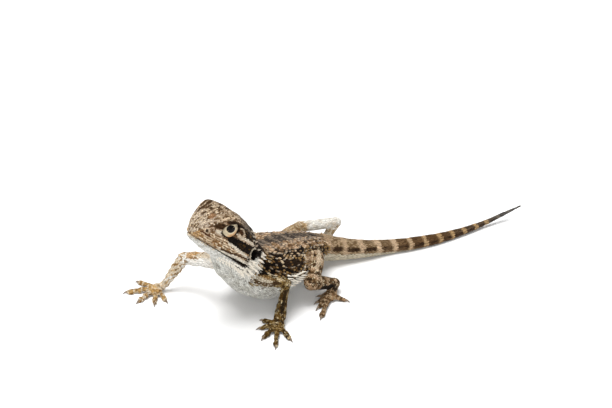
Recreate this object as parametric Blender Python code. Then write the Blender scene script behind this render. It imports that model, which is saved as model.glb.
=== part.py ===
"""A young central bearded dragon standing with its head raised, as closed solids.

The animal faces -Y, its tail runs to +Y and its left side is +X. The sizes below are in
millimetres. The body is lofted along its spine, the head along its own axis and each leg along its
bones. Each is parted by thin cuts, so that neighbours face each other across a small gap.
"""

import math

import bmesh
import bpy
import numpy as np
from mathutils import Matrix, Vector

MM = 0.001
GAP = 0.3

# Spine: place of the section's centre, half width, height above and depth below the centre
SPINE = {
    "crest": (0.5, -28.4, 27.5, 4.4, 5.0, 4.2),
    "nape": (0.5, -27.4, 23.8, 5.7, 5.5, 5.6),
    "neck": (0.4, -25.8, 19.4, 6.6, 5.6, 7.1),
    "shoulders": (0.1, -22.9, 15.6, 8.2, 5.4, 7.4),
    "chest": (0.0, -17.8, 12.1, 11.3, 6.0, 9.1),
    "belly": (0.0, -11.0, 10.6, 11.3, 5.7, 6.2),
    "loin": (0.0, -4.0, 9.2, 8.6, 4.9, 5.2),
    "hips": (0.1, 1.5, 7.7, 6.6, 4.4, 4.8),
    "vent": (1.05, 6.45, 6.25, 4.7, 3.7, 3.9),
    "tail_root": (3.85, 11.45, 4.5, 3.5, 3.2, 3.35),
    "tail_12": (8.2, 17.85, 3.15, 2.7, 2.5, 2.55),
    "tail_20": (12.25, 24.9, 2.2, 2.0, 1.95, 2.3),
    "tail_28": (16.55, 31.75, 1.75, 1.75, 1.75, 1.85),
    "tail_35": (19.95, 38.55, 1.5, 1.45, 1.55, 1.6),
    "tail_44": (22.7, 46.4, 1.25, 1.15, 1.1, 1.15),
    "tail_53": (25.35, 54.9, 1.5, 0.8, 0.77, 0.84),
    "tail_61": (28.4, 63.0, 2.9, 0.5, 0.5, 0.5),
    "tail_tip": (30.0, 66.4, 3.8, 0.27, 0.27, 0.27),
}
BACK_FULLNESS = 2.25
BELLY_FULLNESS = 2.3
TAIL_CUTS = ("tail_12", "tail_28", "tail_44")
TORSO_CUTS = ("shoulders", "vent")
TORSO_CUT_SHIFT = {"shoulders": -1.5, "vent": 0.0}

# Head: the snout's tip, and the turn of the axis that runs back from it
SNOUT = Vector((0.68, -43.0, 33.5))
HEAD_TURN = -0.3
HEAD_RISE = 17.3
HEAD_LEAN = -8.2
MOUTH_START = -0.25
MOUTH_SLOPE = -0.464
MOUTH_END = 18.6
# Distance back from the snout, then: crown height, crown half width, brow half width and height,
# cheek half width and height, lip half width, jaw half width, jaw depth; heights from the mouth line
HEAD = [
    (-0.5, 1.1, 0.3, 0.6, 0.9, 0.7, 0.5, 0.7, 0.5, 0.5),
    (0.3, 3.0, 0.9, 1.6, 2.5, 1.7, 1.1, 1.7, 1.45, 1.1),
    (1.5, 4.6, 1.3, 2.55, 4.0, 2.6, 1.75, 2.6, 2.3, 1.6),
    (3.5, 6.7, 1.8, 3.5, 6.1, 3.6, 2.6, 3.8, 3.4, 1.9),
    (6.0, 8.9, 2.15, 4.55, 8.3, 4.4, 3.9, 4.85, 4.5, 2.3),
    (8.5, 10.6, 2.6, 5.3, 9.9, 4.95, 5.4, 5.7, 5.4, 2.7),
    (11.0, 11.4, 2.75, 5.45, 10.4, 5.4, 6.2, 6.3, 6.1, 2.9),
    (14.0, 11.4, 2.8, 5.2, 9.9, 6.2, 6.5, 6.9, 6.8, 3.2),
    (17.0, 10.9, 2.8, 5.05, 9.3, 6.8, 6.3, 7.3, 7.4, 3.4),
    (19.0, 10.4, 2.7, 4.85, 8.8, 6.7, 5.9, 7.1, 7.2, 3.4),
    (21.0, 9.9, 2.6, 4.5, 8.3, 6.2, 5.4, 6.3, 6.3, 3.3),
    (22.5, 9.0, 2.2, 3.7, 7.5, 5.1, 5.1, 5.1, 5.1, 2.8),
    (23.3, 7.9, 1.5, 2.6, 6.6, 3.6, 4.8, 3.6, 3.4, 1.8),
]
LIP_HEIGHT = 0.35

EYE_BACK = 9.4
EYE_HEIGHT = 6.7
EYE_SIDE = 3.0
EYE_RADIUS = 2.8
LID_RADII = (2.1, 1.65)
LID_THICKNESS = 0.42

EAR_BACK = 19.9
EAR_HEIGHT = 3.7
EAR_RADII = (1.7, 1.55, 0.95)
NOSTRIL_BACK = 2.4
NOSTRIL_HEIGHT = 3.1
NOSTRIL_RADIUS = 0.42

# Rows of spines along the body: the node, the angle round the section from its side over the back,
# the first and last place as a named section and a distance on, the spacing, and a spine's length
SPINE_ROWS = [
    ("neck", -26, ("shoulders", -3.0), ("shoulders", -3.0), 1.6, 1.1),
    ("neck", -10, ("shoulders", -4.1), ("shoulders", -2.5), 1.6, 1.2),
    ("neck", 8, ("shoulders", -3.2), ("shoulders", -3.2), 1.6, 1.1),
    ("neck", 24, ("shoulders", -3.9), ("shoulders", -2.4), 1.6, 1.0),
    ("neck", 50, ("shoulders", -3.0), ("shoulders", -3.0), 1.6, 0.8),
    ("torso", -26, ("shoulders", 6.0), ("hips", -5.0), 2.4, 1.0),
    ("torso", -10, ("shoulders", 0.6), ("hips", 1.0), 1.6, 1.5),
    ("torso", 6, ("shoulders", 1.6), ("hips", -1.0), 2.6, 0.9),
    ("torso", 32, ("shoulders", 1.4), ("vent", -2.0), 3.2, 0.8),
    ("torso", 60, ("shoulders", 2.4), ("vent", -3.0), 3.2, 0.8),
    ("tail_1", 2, ("vent", 2.0), ("tail_12", -2.0), 2.6, 0.9),
    ("tail_2", 2, ("tail_12", 2.0), ("tail_28", -2.0), 3.0, 0.7),
]
# Head spines: distance back and height over the mouth line on the side of the head, and length
CROWN_SPINES = [(20.2, 0.9, 0.9), (20.3, 2.4, 0.9)]
NAPE_SPINES = [(20.3, 9.1, 1.0), (20.3, 8.0, 1.0), (20.0, 6.9, 1.0)]
BEARD_SPINES = [(17.4, -1.7, 1.5), (16.0, -1.8, 1.3), (14.6, -1.8, 1.1), (13.2, -1.8, 0.9)]
SPINE_RADIUS = 0.45
SPINE_SINK = 0.7
LEG_CLEARANCE = 0.9

# Legs: joint places, radii at the joints, the palm, the reach of the cuts at the middle and end
# joints, and each digit's angle out from the front and its length, mirrored on the right side
LEGS = {
    "front_left": {
        "bones": ((3.5, -24.8, 13.8), (7.8, -24.6, 13.9), (11.7, -19.0, 11.0), (12.0, -22.0, 2.4)),
        "radii": (2.5, 2.05, 1.35, 1.7),
        "palm": (13.0, -24.2, 1.0),
        "palm_size": (2.1, 1.15),
        "cut_reach": (5.0, 2.4),
        "digits": ((-86, 6.2), (-41, 5.9), (5, 7.6), (38, 10.4), (71, 8.1)),
    },
    "front_right": {
        "bones": ((-3.5, -24.8, 13.4), (-7.8, -25.0, 13.0), (-18.8, -26.4, 10.2), (-22.4, -30.6, 2.4)),
        "radii": (2.7, 2.4, 1.8, 1.15),
        "palm": (-24.2, -32.2, 1.0),
        "palm_size": (2.1, 1.15),
        "cut_reach": (5.0, 2.4),
        "digits": ((-70, 7.4), (-40, 8.0), (-2, 8.4), (42, 9.4), (87, 8.0)),
    },
    "hind_left": {
        "bones": ((2.5, 0.5, 8.4), (7.4, -2.3, 9.2), (12.9, -10.2, 7.4), (13.5, -0.6, 2.8)),
        "radii": (3.1, 2.7, 2.1, 1.5),
        "palm": (14.9, -4.4, 1.1),
        "palm_size": (2.0, 1.25),
        "cut_reach": (9.0, 4.2),
        "digits": ((-64, 4.2), (-18, 5.4), (6, 7.2), (25, 11.0), (113, 5.8)),
    },
    "hind_right": {
        "bones": ((-2.5, 1.0, 7.8), (-5.5, 1.5, 7.7), (-9.6, 11.6, 6.4), (-3.4, 20.6, 6.2)),
        "radii": (3.2, 2.8, 1.75, 1.65),
        "palm": (-5.2, 17.6, 1.1),
        "palm_size": (2.0, 1.25),
        "cut_reach": (7.0, 3.8),
        "digits": ((-40, 4.8), (-8, 6.6), (18, 9.0), (38, 10.8), (128, 5.4)),
    },
}
DIGIT_RADIUS = 0.78
DIGIT_END_RADIUS = 0.52
CLAW_LENGTH = 1.3
NODE_NAMES = {
    "front": ("upper_arm", "forearm", "hand"),
    "hind": ("thigh", "shank", "foot"),
}

COLOURS = {
    "skin": ((0.42, 0.33, 0.24, 1), 0.75),
    "throat": ((0.82, 0.79, 0.72, 1), 0.7),
    "eye": ((0.1, 0.07, 0.04, 1), 0.08),
}
SLOTS = {"jaw": "throat", "eye_left": "eye", "eye_right": "eye"}


def clear_scene():
    for ob in list(bpy.data.objects):
        bpy.data.objects.remove(ob, do_unlink=True)


def smooth_rows(keys, rows, places):
    """Values of a smooth curve through `rows` at `keys`, read at `places`."""
    keys = np.asarray(keys, float)
    rows = np.asarray(rows, float)
    slopes = np.gradient(rows, keys, axis=0)
    places = np.clip(np.asarray(places, float), keys[0], keys[-1])
    i = np.clip(np.searchsorted(keys, places, side="right") - 1, 0, len(keys) - 2)
    span = (keys[i + 1] - keys[i])[:, None]
    t = (places - keys[i])[:, None] / span
    start = (2 * t**3 - 3 * t**2 + 1) * rows[i] + (t**3 - 2 * t**2 + t) * span * slopes[i]
    end = (3 * t**2 - 2 * t**3) * rows[i + 1] + (t**3 - t**2) * span * slopes[i + 1]
    return start + end


def lengths_along(points):
    steps = np.linalg.norm(np.diff(np.asarray(points, float), axis=0), axis=1)
    return np.concatenate([[0.0], np.cumsum(steps)])


def unit(vector):
    vector = np.asarray(vector, float)
    return vector / np.linalg.norm(vector)


def frame_on(tangent):
    """The side and the up direction of a section whose path runs along `tangent`."""
    tangent = unit(tangent)
    side = unit(np.cross(tangent, (0.0, 0.0, 1.0)))
    return side, np.cross(side, tangent)


def mesh_object(name, points, faces):
    mesh = bpy.data.meshes.new(name)
    mesh.from_pydata([tuple(float(v) * MM for v in p) for p in points], [], faces)
    mesh.update()
    ob = bpy.data.objects.new(name, mesh)
    bpy.context.scene.collection.objects.link(ob)
    face_outward(ob)
    return ob


def face_outward(ob):
    """Turn every face out, and the whole surface over if its volume is negative."""
    bm = bmesh.new()
    bm.from_mesh(ob.data)
    bmesh.ops.recalc_face_normals(bm, faces=bm.faces)
    if bm.calc_volume(signed=True) < 0:
        bmesh.ops.reverse_faces(bm, faces=bm.faces)
    bm.to_mesh(ob.data)
    bm.free()


def loft(name, rings):
    """A closed tube through rings of equal point counts, with flat ends."""
    count, sides = rings.shape[:2]
    faces = []
    for i in range(count - 1):
        for j in range(sides):
            a = i * sides + j
            b = i * sides + (j + 1) % sides
            faces.append((a, b, b + sides, a + sides))
    faces.append(tuple(range(sides)))
    faces.append(tuple((count - 1) * sides + j for j in range(sides)))
    return mesh_object(name, rings.reshape(-1, 3), faces)


SECTIONS = np.array(list(SPINE.values()), float)
SECTION_PLACES = lengths_along(SECTIONS[:, :3])
SPINE_LENGTH = SECTION_PLACES[-1]
PLACE_OF = dict(zip(SPINE, SECTION_PLACES))


def section(half_width, above, below, sides):
    """A rounded body section, fuller below than above."""
    angles = 2 * math.pi * np.arange(sides) / sides
    cosines = np.cos(angles)
    sines = np.sin(angles)
    power = np.where(sines >= 0, 2 / BACK_FULLNESS, 2 / BELLY_FULLNESS)
    x = half_width * np.sign(cosines) * np.abs(cosines) ** power
    z = np.where(sines >= 0, above, below) * np.sign(sines) * np.abs(sines) ** power
    return x, z


def spine_rings(start, end, step, sides, grow=0.0):
    count = max(2, round((end - start) / step)) + 1
    places = np.linspace(start, end, count)
    rows = smooth_rows(SECTION_PLACES, SECTIONS, places)
    reach = 0.2
    ahead = smooth_rows(SECTION_PLACES, SECTIONS, places + reach)[:, :3]
    behind = smooth_rows(SECTION_PLACES, SECTIONS, places - reach)[:, :3]
    rings = []
    for row, tangent in zip(rows, ahead - behind):
        side, up = frame_on(tangent)
        x, z = section(row[3] + grow, row[4] + grow, row[5] + grow, sides)
        rings.append(row[:3] + np.outer(x, side) + np.outer(z, up))
    return np.array(rings)


def head_axes():
    """Unit vectors that run back along the head, to its left and up through its crown."""
    turn, rise, lean = (math.radians(v) for v in (HEAD_TURN, HEAD_RISE, HEAD_LEAN))
    level_back = np.array((math.sin(-turn), math.cos(turn), 0.0))
    level_left = np.array((math.cos(turn), math.sin(turn), 0.0))
    vertical = np.array((0.0, 0.0, 1.0))
    back = level_back * math.cos(rise) - vertical * math.sin(rise)
    crown = level_back * math.sin(rise) + vertical * math.cos(rise)
    left = level_left * math.cos(lean) + crown * math.sin(lean)
    up = crown * math.cos(lean) - level_left * math.sin(lean)
    return back, left, up


BACK, LEFT, UP = head_axes()
HEAD_ROWS = np.array(HEAD, float)


def mouth_height(back):
    return MOUTH_START + MOUTH_SLOPE * back


def head_point(back, side, height):
    return np.array(SNOUT) + back * BACK + side * LEFT + height * UP


def closed_curve(corners, count):
    """Points of a smooth closed curve through `corners`."""
    corners = np.asarray(corners, float)
    place = np.arange(count) / count * len(corners)
    i = place.astype(int)
    f = (place - i)[:, None]
    before, here, after, beyond = (corners[(i + k) % len(corners)] for k in (-1, 0, 1, 2))
    linear = (after - before) * f
    square = (2 * before - 5 * here + 4 * after - beyond) * f**2
    cube = (3 * here - before - 3 * after + beyond) * f**3
    return 0.5 * (2 * here + linear + square + cube)


def head_outline(row, count, grow=0.0):
    """The head's section as sideways and height values, height from the axis."""
    back, top, crown, brow, brow_height, cheek, cheek_height, lip, jaw, depth = row
    half = [
        (crown, top),
        (brow, brow_height),
        (cheek, cheek_height),
        (lip, LIP_HEIGHT),
        (jaw, -0.45 * depth),
        (0.62 * jaw, -0.9 * depth),
    ]
    corners = [(0.0, top)] + half + [(0.0, -depth)] + [(-w, h) for w, h in half[::-1]]
    curve = closed_curve(corners, count)
    if grow:
        along = np.roll(curve, -1, axis=0) - np.roll(curve, 1, axis=0)
        out = np.column_stack([-along[:, 1], along[:, 0]])
        curve = curve + grow * out / np.linalg.norm(out, axis=1)[:, None]
    curve[:, 1] += mouth_height(back)
    return curve


def head_rings(count, sides, grow=0.0):
    backs = np.concatenate([[-0.5, -0.15], np.linspace(0.4, HEAD_ROWS[-1, 0], count)])
    rows = smooth_rows(HEAD_ROWS[:, 0], HEAD_ROWS, backs)
    rings = []
    for i, row in enumerate(rows):
        outline = head_outline(row, sides, grow)
        shift = -grow if i == 0 else grow if i == len(rows) - 1 else 0.0
        rings.append(np.array([head_point(row[0] + shift, w, h) for w, h in outline]))
    return np.array(rings)


def head_side(back, height):
    """The head's half width at a place back from the snout and a height over the mouth line."""
    row = smooth_rows(HEAD_ROWS[:, 0], HEAD_ROWS, [back])[0]
    outline = head_outline(row, 96)
    left = outline[outline[:, 0] > 0]
    order = np.argsort(left[:, 1])
    return float(np.interp(height + mouth_height(back), left[order, 1], left[order, 0]))


def settle(ob):
    """Make the evaluated shape the object's own mesh."""
    graph = bpy.context.evaluated_depsgraph_get()
    mesh = bpy.data.meshes.new_from_object(ob.evaluated_get(graph))
    ob.modifiers.clear()
    ob.data = mesh


def boolean(ob, operation, others):
    """Join or cut `ob` with a group of closed objects, which are then removed."""
    group = bpy.data.collections.new("operands")
    bpy.context.scene.collection.children.link(group)
    for other in others:
        group.objects.link(other)
    modifier = ob.modifiers.new(operation.lower(), "BOOLEAN")
    modifier.operation = operation
    modifier.operand_type = "COLLECTION"
    modifier.collection = group
    modifier.solver = "EXACT"
    settle(ob)
    for other in others:
        bpy.data.objects.remove(other, do_unlink=True)
    bpy.data.collections.remove(group)
    return ob


def islands(bm):
    """The connected surfaces of a mesh, as lists of faces."""
    left = set(bm.faces)
    found = []
    while left:
        start = left.pop()
        stack = [start]
        group = [start]
        while stack:
            for edge in stack.pop().edges:
                for face in edge.link_faces:
                    if face in left:
                        left.remove(face)
                        stack.append(face)
                        group.append(face)
        found.append(group)
    return found


def reach_of(faces):
    points = np.array([v.co for face in faces for v in face.verts])
    return float(np.linalg.norm(points.max(axis=0) - points.min(axis=0)))


def keep_largest(ob):
    """Keep only the largest closed surface of a node."""
    bm = bmesh.new()
    bm.from_mesh(ob.data)
    groups = sorted(islands(bm), key=reach_of)
    scraps = [face for group in groups[:-1] for face in group]
    bmesh.ops.delete(bm, geom=scraps, context="FACES")
    loose = [v for v in bm.verts if not v.link_faces]
    bmesh.ops.delete(bm, geom=loose, context="VERTS")
    bmesh.ops.triangulate(bm, faces=bm.faces)
    bm.to_mesh(ob.data)
    bm.free()
    return ob


def part_by_nearest(ob, places):
    """Split an object into its closed surfaces; each named place takes the nearest large one."""
    bm = bmesh.new()
    bm.from_mesh(ob.data)
    groups = sorted(islands(bm), key=reach_of, reverse=True)[: len(places)]
    parts = []
    for group in groups:
        verts = {v: i for i, v in enumerate({v for face in group for v in face.verts})}
        points = [v.co / MM for v in verts]
        faces = [tuple(verts[v] for v in face.verts) for face in group]
        parts.append((np.array(points).mean(axis=0), points, faces))
    bm.free()
    made = {}
    for name, place in places.items():
        distances = [np.linalg.norm(part[0] - np.array(place)) for part in parts]
        _, points, faces = parts.pop(int(np.argmin(distances)))
        made[name] = keep_largest(mesh_object(name, points, faces))
    bpy.data.objects.remove(ob, do_unlink=True)
    return made


def plate(centre, normal, radius, thickness=GAP):
    """A thin round plate, used as a cut."""
    bm = bmesh.new()
    half = radius * MM
    bmesh.ops.create_cone(bm, cap_ends=True, segments=16, radius1=half, radius2=half, depth=thickness * MM)
    turn = Vector((0.0, 0.0, 1.0)).rotation_difference(Vector(normal)).to_matrix().to_4x4()
    bm.transform(Matrix.Translation(Vector(centre) * MM) @ turn)
    mesh = bpy.data.meshes.new("plate")
    bm.to_mesh(mesh)
    bm.free()
    ob = bpy.data.objects.new("plate", mesh)
    bpy.context.scene.collection.objects.link(ob)
    return ob


def ball(centre, radii, axes=None, rings=10, sides=16):
    """An ellipsoid with its radii along `axes`."""
    bm = bmesh.new()
    bmesh.ops.create_uvsphere(bm, u_segments=sides, v_segments=rings, radius=1.0)
    turn = Matrix.Identity(3) if axes is None else Matrix([tuple(a) for a in axes]).transposed()
    scale = Matrix.Diagonal(tuple(r * MM for r in radii) + (1.0,))
    bm.transform(Matrix.Translation(Vector(centre) * MM) @ turn.to_4x4() @ scale)
    mesh = bpy.data.meshes.new("ball")
    bm.to_mesh(mesh)
    bm.free()
    ob = bpy.data.objects.new("ball", mesh)
    bpy.context.scene.collection.objects.link(ob)
    face_outward(ob)
    return ob


def tube(name, points, radii, sides, step, rounded=(False, False)):
    """A round tube on a smooth path, with a dome on each end that is rounded."""
    points = np.asarray(points, float)
    places = lengths_along(points)
    count = max(2, round(places[-1] / step)) + 1
    rows = smooth_rows(places, np.column_stack([points, radii]), np.linspace(0, places[-1], count))
    tangents = np.gradient(rows[:, :3], axis=0)
    side = frame_on(tangents[0])[0]
    rings = []
    for row, tangent in zip(rows, tangents):
        tangent = unit(tangent)
        side = unit(side - tangent * np.dot(side, tangent))
        across = np.cross(side, tangent)
        angles = 2 * math.pi * np.arange(sides) / sides
        spokes = np.outer(np.cos(angles), side) + np.outer(np.sin(angles), across)
        rings.append((row[:3], tangent, spokes, row[3]))
    made = [centre + radius * spokes for centre, tangent, spokes, radius in rings]
    for at_end, index, sign in ((rounded[0], 0, -1), (rounded[1], -1, 1)):
        if not at_end:
            continue
        centre, tangent, spokes, radius = rings[index]
        dome = []
        for angle in (30, 58, 80):
            rise = sign * radius * math.sin(math.radians(angle))
            dome.append(centre + rise * tangent + radius * math.cos(math.radians(angle)) * spokes)
        made = dome[::-1] + made if sign < 0 else made + dome
    return loft(name, np.array(made))


def strap(name, rows, sides):
    """A flattened tube: each row is a place, a half width and a half thickness."""
    rows = np.asarray(rows, float)
    places = lengths_along(rows[:, :3])
    rows = smooth_rows(places, rows, np.linspace(0, places[-1], 5))
    tangents = np.gradient(rows[:, :3], axis=0)
    angles = 2 * math.pi * np.arange(sides) / sides
    rings = []
    for row, tangent in zip(rows, tangents):
        side, up = frame_on(tangent)
        rings.append(row[:3] + np.outer(row[3] * np.cos(angles), side) + np.outer(row[4] * np.sin(angles), up))
    return loft(name, np.array(rings))


def digit(palm, heading, length):
    """A toe that arches over its knuckle and ends in a down-curved claw."""
    out = np.array((math.sin(heading), -math.cos(heading), 0.0))
    toe = length - CLAW_LENGTH
    stations = [
        (0.6, 1.0, DIGIT_RADIUS * 1.05),
        (0.42 * length, 1.0, DIGIT_RADIUS),
        (0.75 * toe, 0.7, DIGIT_RADIUS * 0.92),
        (toe, 0.49, DIGIT_END_RADIUS),
        (toe + 0.15, 0.5, 0.34),
        (length, 0.16, 0.1),
    ]
    base = np.array((palm[0], palm[1], 0.0))
    angles = 2 * math.pi * (np.arange(6) + 0.5) / 6
    side = np.array((-out[1], out[0], 0.0))
    rings = []
    for far, height, radius in stations:
        ring = base + out * far + np.outer(radius * np.cos(angles), side)
        ring[:, 2] += height + radius * np.sin(angles)
        rings.append(ring)
    return loft("digit", np.array(rings))


def floor_block():
    """Everything under the floor, to cut the soles and the tail flat."""
    return plate((0.0, 10.0, -10.0), (0.0, 0.0, 1.0), 200.0, 20.0)


def make_leg(key):
    """One leg modelled whole, trimmed to the body and parted at elbow or knee and wrist or ankle."""
    leg = LEGS[key]
    root, top, middle, end = (np.array(p) for p in leg["bones"])
    top_radii = (leg["radii"][0], leg["radii"][1], leg["radii"][2])
    whole = tube(key, (root, top, middle), top_radii, 12, 2.0, (False, True))
    mid_shin = 0.6 * middle + 0.4 * end
    shin_radii = (leg["radii"][2] * 0.95, leg["radii"][2] * 0.93, leg["radii"][3])
    shin = tube("shin", (middle, mid_shin, end), shin_radii, 10, 1.8, (True, True))
    palm = np.array(leg["palm"])
    half_width, half_height = leg["palm_size"]
    ankle_radius = leg["radii"][3]
    heel_to_toe = unit((palm - end) * (1.0, 1.0, 0.0))
    palm_rows = [
        (*end, ankle_radius * 0.95, ankle_radius * 0.95),
        (*(0.45 * end + 0.55 * palm), half_width * 0.72, half_height * 1.1),
        (*palm, half_width, half_height),
        (*(palm + heel_to_toe * 1.5), half_width * 0.75, half_height * 0.8),
    ]
    pieces = [shin, strap("palm", palm_rows, 10)]
    mirror = 1 if key.endswith("left") else -1
    for angle, length in leg["digits"]:
        pieces.append(digit(palm, math.radians(angle) * mirror, length))
    boolean(whole, "UNION", pieces)
    keep_largest(whole)
    elbow_normal = unit(unit(middle - top) + unit(end - middle))
    wrist_normal = unit(unit(end - middle) + unit(palm - end))
    body = loft("body", spine_rings(0.0, SPINE_LENGTH, 2.0, 24, GAP))
    cuts = [
        plate(middle, elbow_normal, leg["cut_reach"][0]),
        plate(end, wrist_normal, leg["cut_reach"][1]),
        floor_block(),
        body,
    ]
    boolean(whole, "DIFFERENCE", cuts)
    side = key.split("_")[1]
    upper, lower, foot = (f"{name}_{side}" for name in NODE_NAMES[key.split("_")[0]])
    places = {upper: 0.4 * top + 0.6 * middle, lower: (middle + end) / 2, foot: palm}
    return part_by_nearest(whole, places)


def spike(root, direction, length):
    """A four-sided spine whose root is sunk in the surface that it grows from."""
    direction = unit(direction)
    side, up = frame_on(direction)
    corners = np.array((side, up, -side, -up))
    stations = ((-SPINE_SINK, 0.8), (0.35 * length, 0.75), (length, 0.12))
    rings = [root + direction * far + SPINE_RADIUS * size * corners for far, size in stations]
    return loft("spike", np.array(rings))


def body_place(place, angle):
    """A point on the skin of the body, its outward direction and the direction of the tail."""
    row = smooth_rows(SECTION_PLACES, SECTIONS, [place])[0]
    ahead = smooth_rows(SECTION_PLACES, SECTIONS, [place + 0.2, place - 0.2])[:, :3]
    tangent = unit(ahead[0] - ahead[1])
    side, up = frame_on(tangent)
    turn = math.radians(angle)
    above = math.sin(turn) >= 0
    power = 2 / (BACK_FULLNESS if above else BELLY_FULLNESS)
    tall = row[4] if above else row[5]
    x = row[3] * math.copysign(abs(math.cos(turn)) ** power, math.cos(turn))
    z = tall * math.copysign(abs(math.sin(turn)) ** power, math.sin(turn))
    out = unit(side * x / row[3] ** 2 + up * z / tall**2)
    return row[:3] + side * x + up * z, out, tangent


def clear_of_legs(point):
    """Whether a point is far enough from every bone of the legs."""
    for leg in LEGS.values():
        bones = [np.array(bone) for bone in leg["bones"]] + [np.array(leg["palm"])]
        for start, end, radius in zip(bones[:-1], bones[1:], leg["radii"]):
            along = np.dot(point - start, end - start) / np.dot(end - start, end - start)
            nearest = start + np.clip(along, 0.0, 1.0) * (end - start)
            if np.linalg.norm(point - nearest) < radius + LEG_CLEARANCE:
                return False
    return True


def body_spikes(node):
    """The fringe along each flank and the rows of enlarged scales of one node of the body."""
    spikes = []
    for owner, angle, first, last, spacing, length in SPINE_ROWS:
        if owner != node:
            continue
        start = PLACE_OF[first[0]] + first[1]
        end = PLACE_OF[last[0]] + last[1]
        for place in np.linspace(start, end, round((end - start) / spacing) + 1):
            for mirrored in (angle, 180 - angle):
                root, out, back = body_place(place, mirrored)
                lie = unit(out + 0.8 * back)
                if clear_of_legs(root) and clear_of_legs(root + length * lie):
                    spikes.append(spike(root, lie, length))
    return spikes


def head_spikes():
    """The spines across the back of the skull and along the beard."""
    spikes = []
    for side in (1, -1):
        for back, height, length in NAPE_SPINES + BEARD_SPINES:
            root = head_point(back, side * head_side(back, height), height + mouth_height(back))
            out = LEFT * side + UP * (0.06 * (height - 4.0)) + 0.55 * BACK
            spikes.append(spike(root, out, length))
        for back, wide, length in CROWN_SPINES:
            crown = smooth_rows(HEAD_ROWS[:, 0], HEAD_ROWS, [back])[0, 1]
            root = head_point(back, side * wide, crown + mouth_height(back))
            spikes.append(spike(root, 0.4 * UP + BACK + 0.15 * side * LEFT, length))
    return spikes


def make_eye(side):
    name = "eye_left" if side > 0 else "eye_right"
    centre = head_point(EYE_BACK, side * EYE_SIDE, EYE_HEIGHT + mouth_height(EYE_BACK))
    ob = ball(centre, (EYE_RADIUS,) * 3, (BACK, UP, LEFT))
    ob.name = name
    return ob


def lid_ring(side):
    """The raised rim of the lids round an eye."""
    surface = head_side(EYE_BACK, EYE_HEIGHT) + 0.15
    height = EYE_HEIGHT + mouth_height(EYE_BACK)
    rings = []
    for angle in 2 * math.pi * np.arange(16) / 16:
        out = np.array((math.cos(angle), math.sin(angle)))
        ring = []
        for turn in 2 * math.pi * np.arange(5) / 5:
            wide = LID_THICKNESS * math.cos(turn)
            back = EYE_BACK + out[0] * (LID_RADII[0] + wide)
            up = height + out[1] * (LID_RADII[1] + wide)
            ring.append(head_point(back, side * (surface - 0.1 + LID_THICKNESS * math.sin(turn)), up))
        rings.append(ring)
    rings = np.array(rings)
    count, sides = rings.shape[:2]
    faces = []
    for i in range(count):
        for j in range(sides):
            k = (i + 1) % count
            m = (j + 1) % sides
            faces.append((i * sides + j, i * sides + m, k * sides + m, k * sides + j))
    return mesh_object("lids", rings.reshape(-1, 3), faces)


def mouth_cut():
    """A thin sheet along the line of the mouth that turns down behind its corner."""
    wide = 12.0
    deep = 8.0
    bend = mouth_height(MOUTH_END)
    upper = [(-3.0, mouth_height(-3.0)), (MOUTH_END, bend), (MOUTH_END + 0.8, bend - deep)]
    lower = [
        (-3.0, mouth_height(-3.0) - GAP),
        (MOUTH_END - GAP, mouth_height(MOUTH_END - GAP) - GAP),
        (MOUTH_END + 0.8 - GAP, bend - deep),
    ]
    outline = upper + lower[::-1]
    rings = np.array([[head_point(a, w, h) for a, h in outline] for w in (-wide, wide)])
    return loft("mouth_cut", rings)


def make_head():
    """The head modelled whole with lids, eye sockets, ear cups and nostrils, then the jaw parted."""
    whole = loft("head", head_rings(22, 32))
    boolean(whole, "UNION", [lid_ring(1), lid_ring(-1)] + head_spikes())
    socket = EYE_RADIUS + GAP
    height = EYE_HEIGHT + mouth_height(EYE_BACK)
    cuts = [mouth_cut()]
    ear_height = EAR_HEIGHT + mouth_height(EAR_BACK)
    nostril_height = NOSTRIL_HEIGHT + mouth_height(NOSTRIL_BACK)
    for side in (1, -1):
        ear = head_point(EAR_BACK, side * head_side(EAR_BACK, EAR_HEIGHT), ear_height)
        nostril = head_point(NOSTRIL_BACK, side * head_side(NOSTRIL_BACK, NOSTRIL_HEIGHT), nostril_height)
        cuts.append(ball(ear, EAR_RADII, (BACK, UP, LEFT), 8, 12))
        cuts.append(ball(nostril, (NOSTRIL_RADIUS,) * 3, (BACK, UP, LEFT), 6, 8))
        cuts.append(ball(head_point(EYE_BACK, side * EYE_SIDE, height), (socket,) * 3, (BACK, UP, LEFT)))
    boolean(whole, "DIFFERENCE", cuts)
    places = {"head": head_point(11.0, 0.0, 3.0), "jaw": head_point(11.0, 0.0, mouth_height(11.0) - 1.5)}
    return part_by_nearest(whole, places)


def make_spine_nodes():
    """The neck, the torso and the lengths of the tail, parted across the spine."""
    cuts = [PLACE_OF[name] + TORSO_CUT_SHIFT[name] for name in TORSO_CUTS]
    cuts += [PLACE_OF[name] for name in TAIL_CUTS]
    ends = [0.0] + cuts + [SPINE_LENGTH]
    names = ["neck", "torso"] + [f"tail_{i + 1}" for i in range(len(TAIL_CUTS) + 1)]
    made = {}
    for name, start, end in zip(names, ends[:-1], ends[1:]):
        begin = start if name == "neck" else start + GAP / 2
        stop = end if end == SPINE_LENGTH else end - GAP / 2
        sides = 24 if name in ("neck", "torso") else 14
        step = 2.0 if name in ("neck", "torso") else 2.6
        made[name] = loft(name, spine_rings(begin, stop, step, sides))
    for name in {row[0] for row in SPINE_ROWS}:
        boolean(made[name], "UNION", body_spikes(name))
    for name in ("neck", "torso"):
        boolean(made[name], "DIFFERENCE", [loft("head_space", head_rings(22, 32, GAP))])
    for name in names[2:]:
        boolean(made[name], "DIFFERENCE", [floor_block()])
    for ob in made.values():
        keep_largest(ob)
    return made


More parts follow.
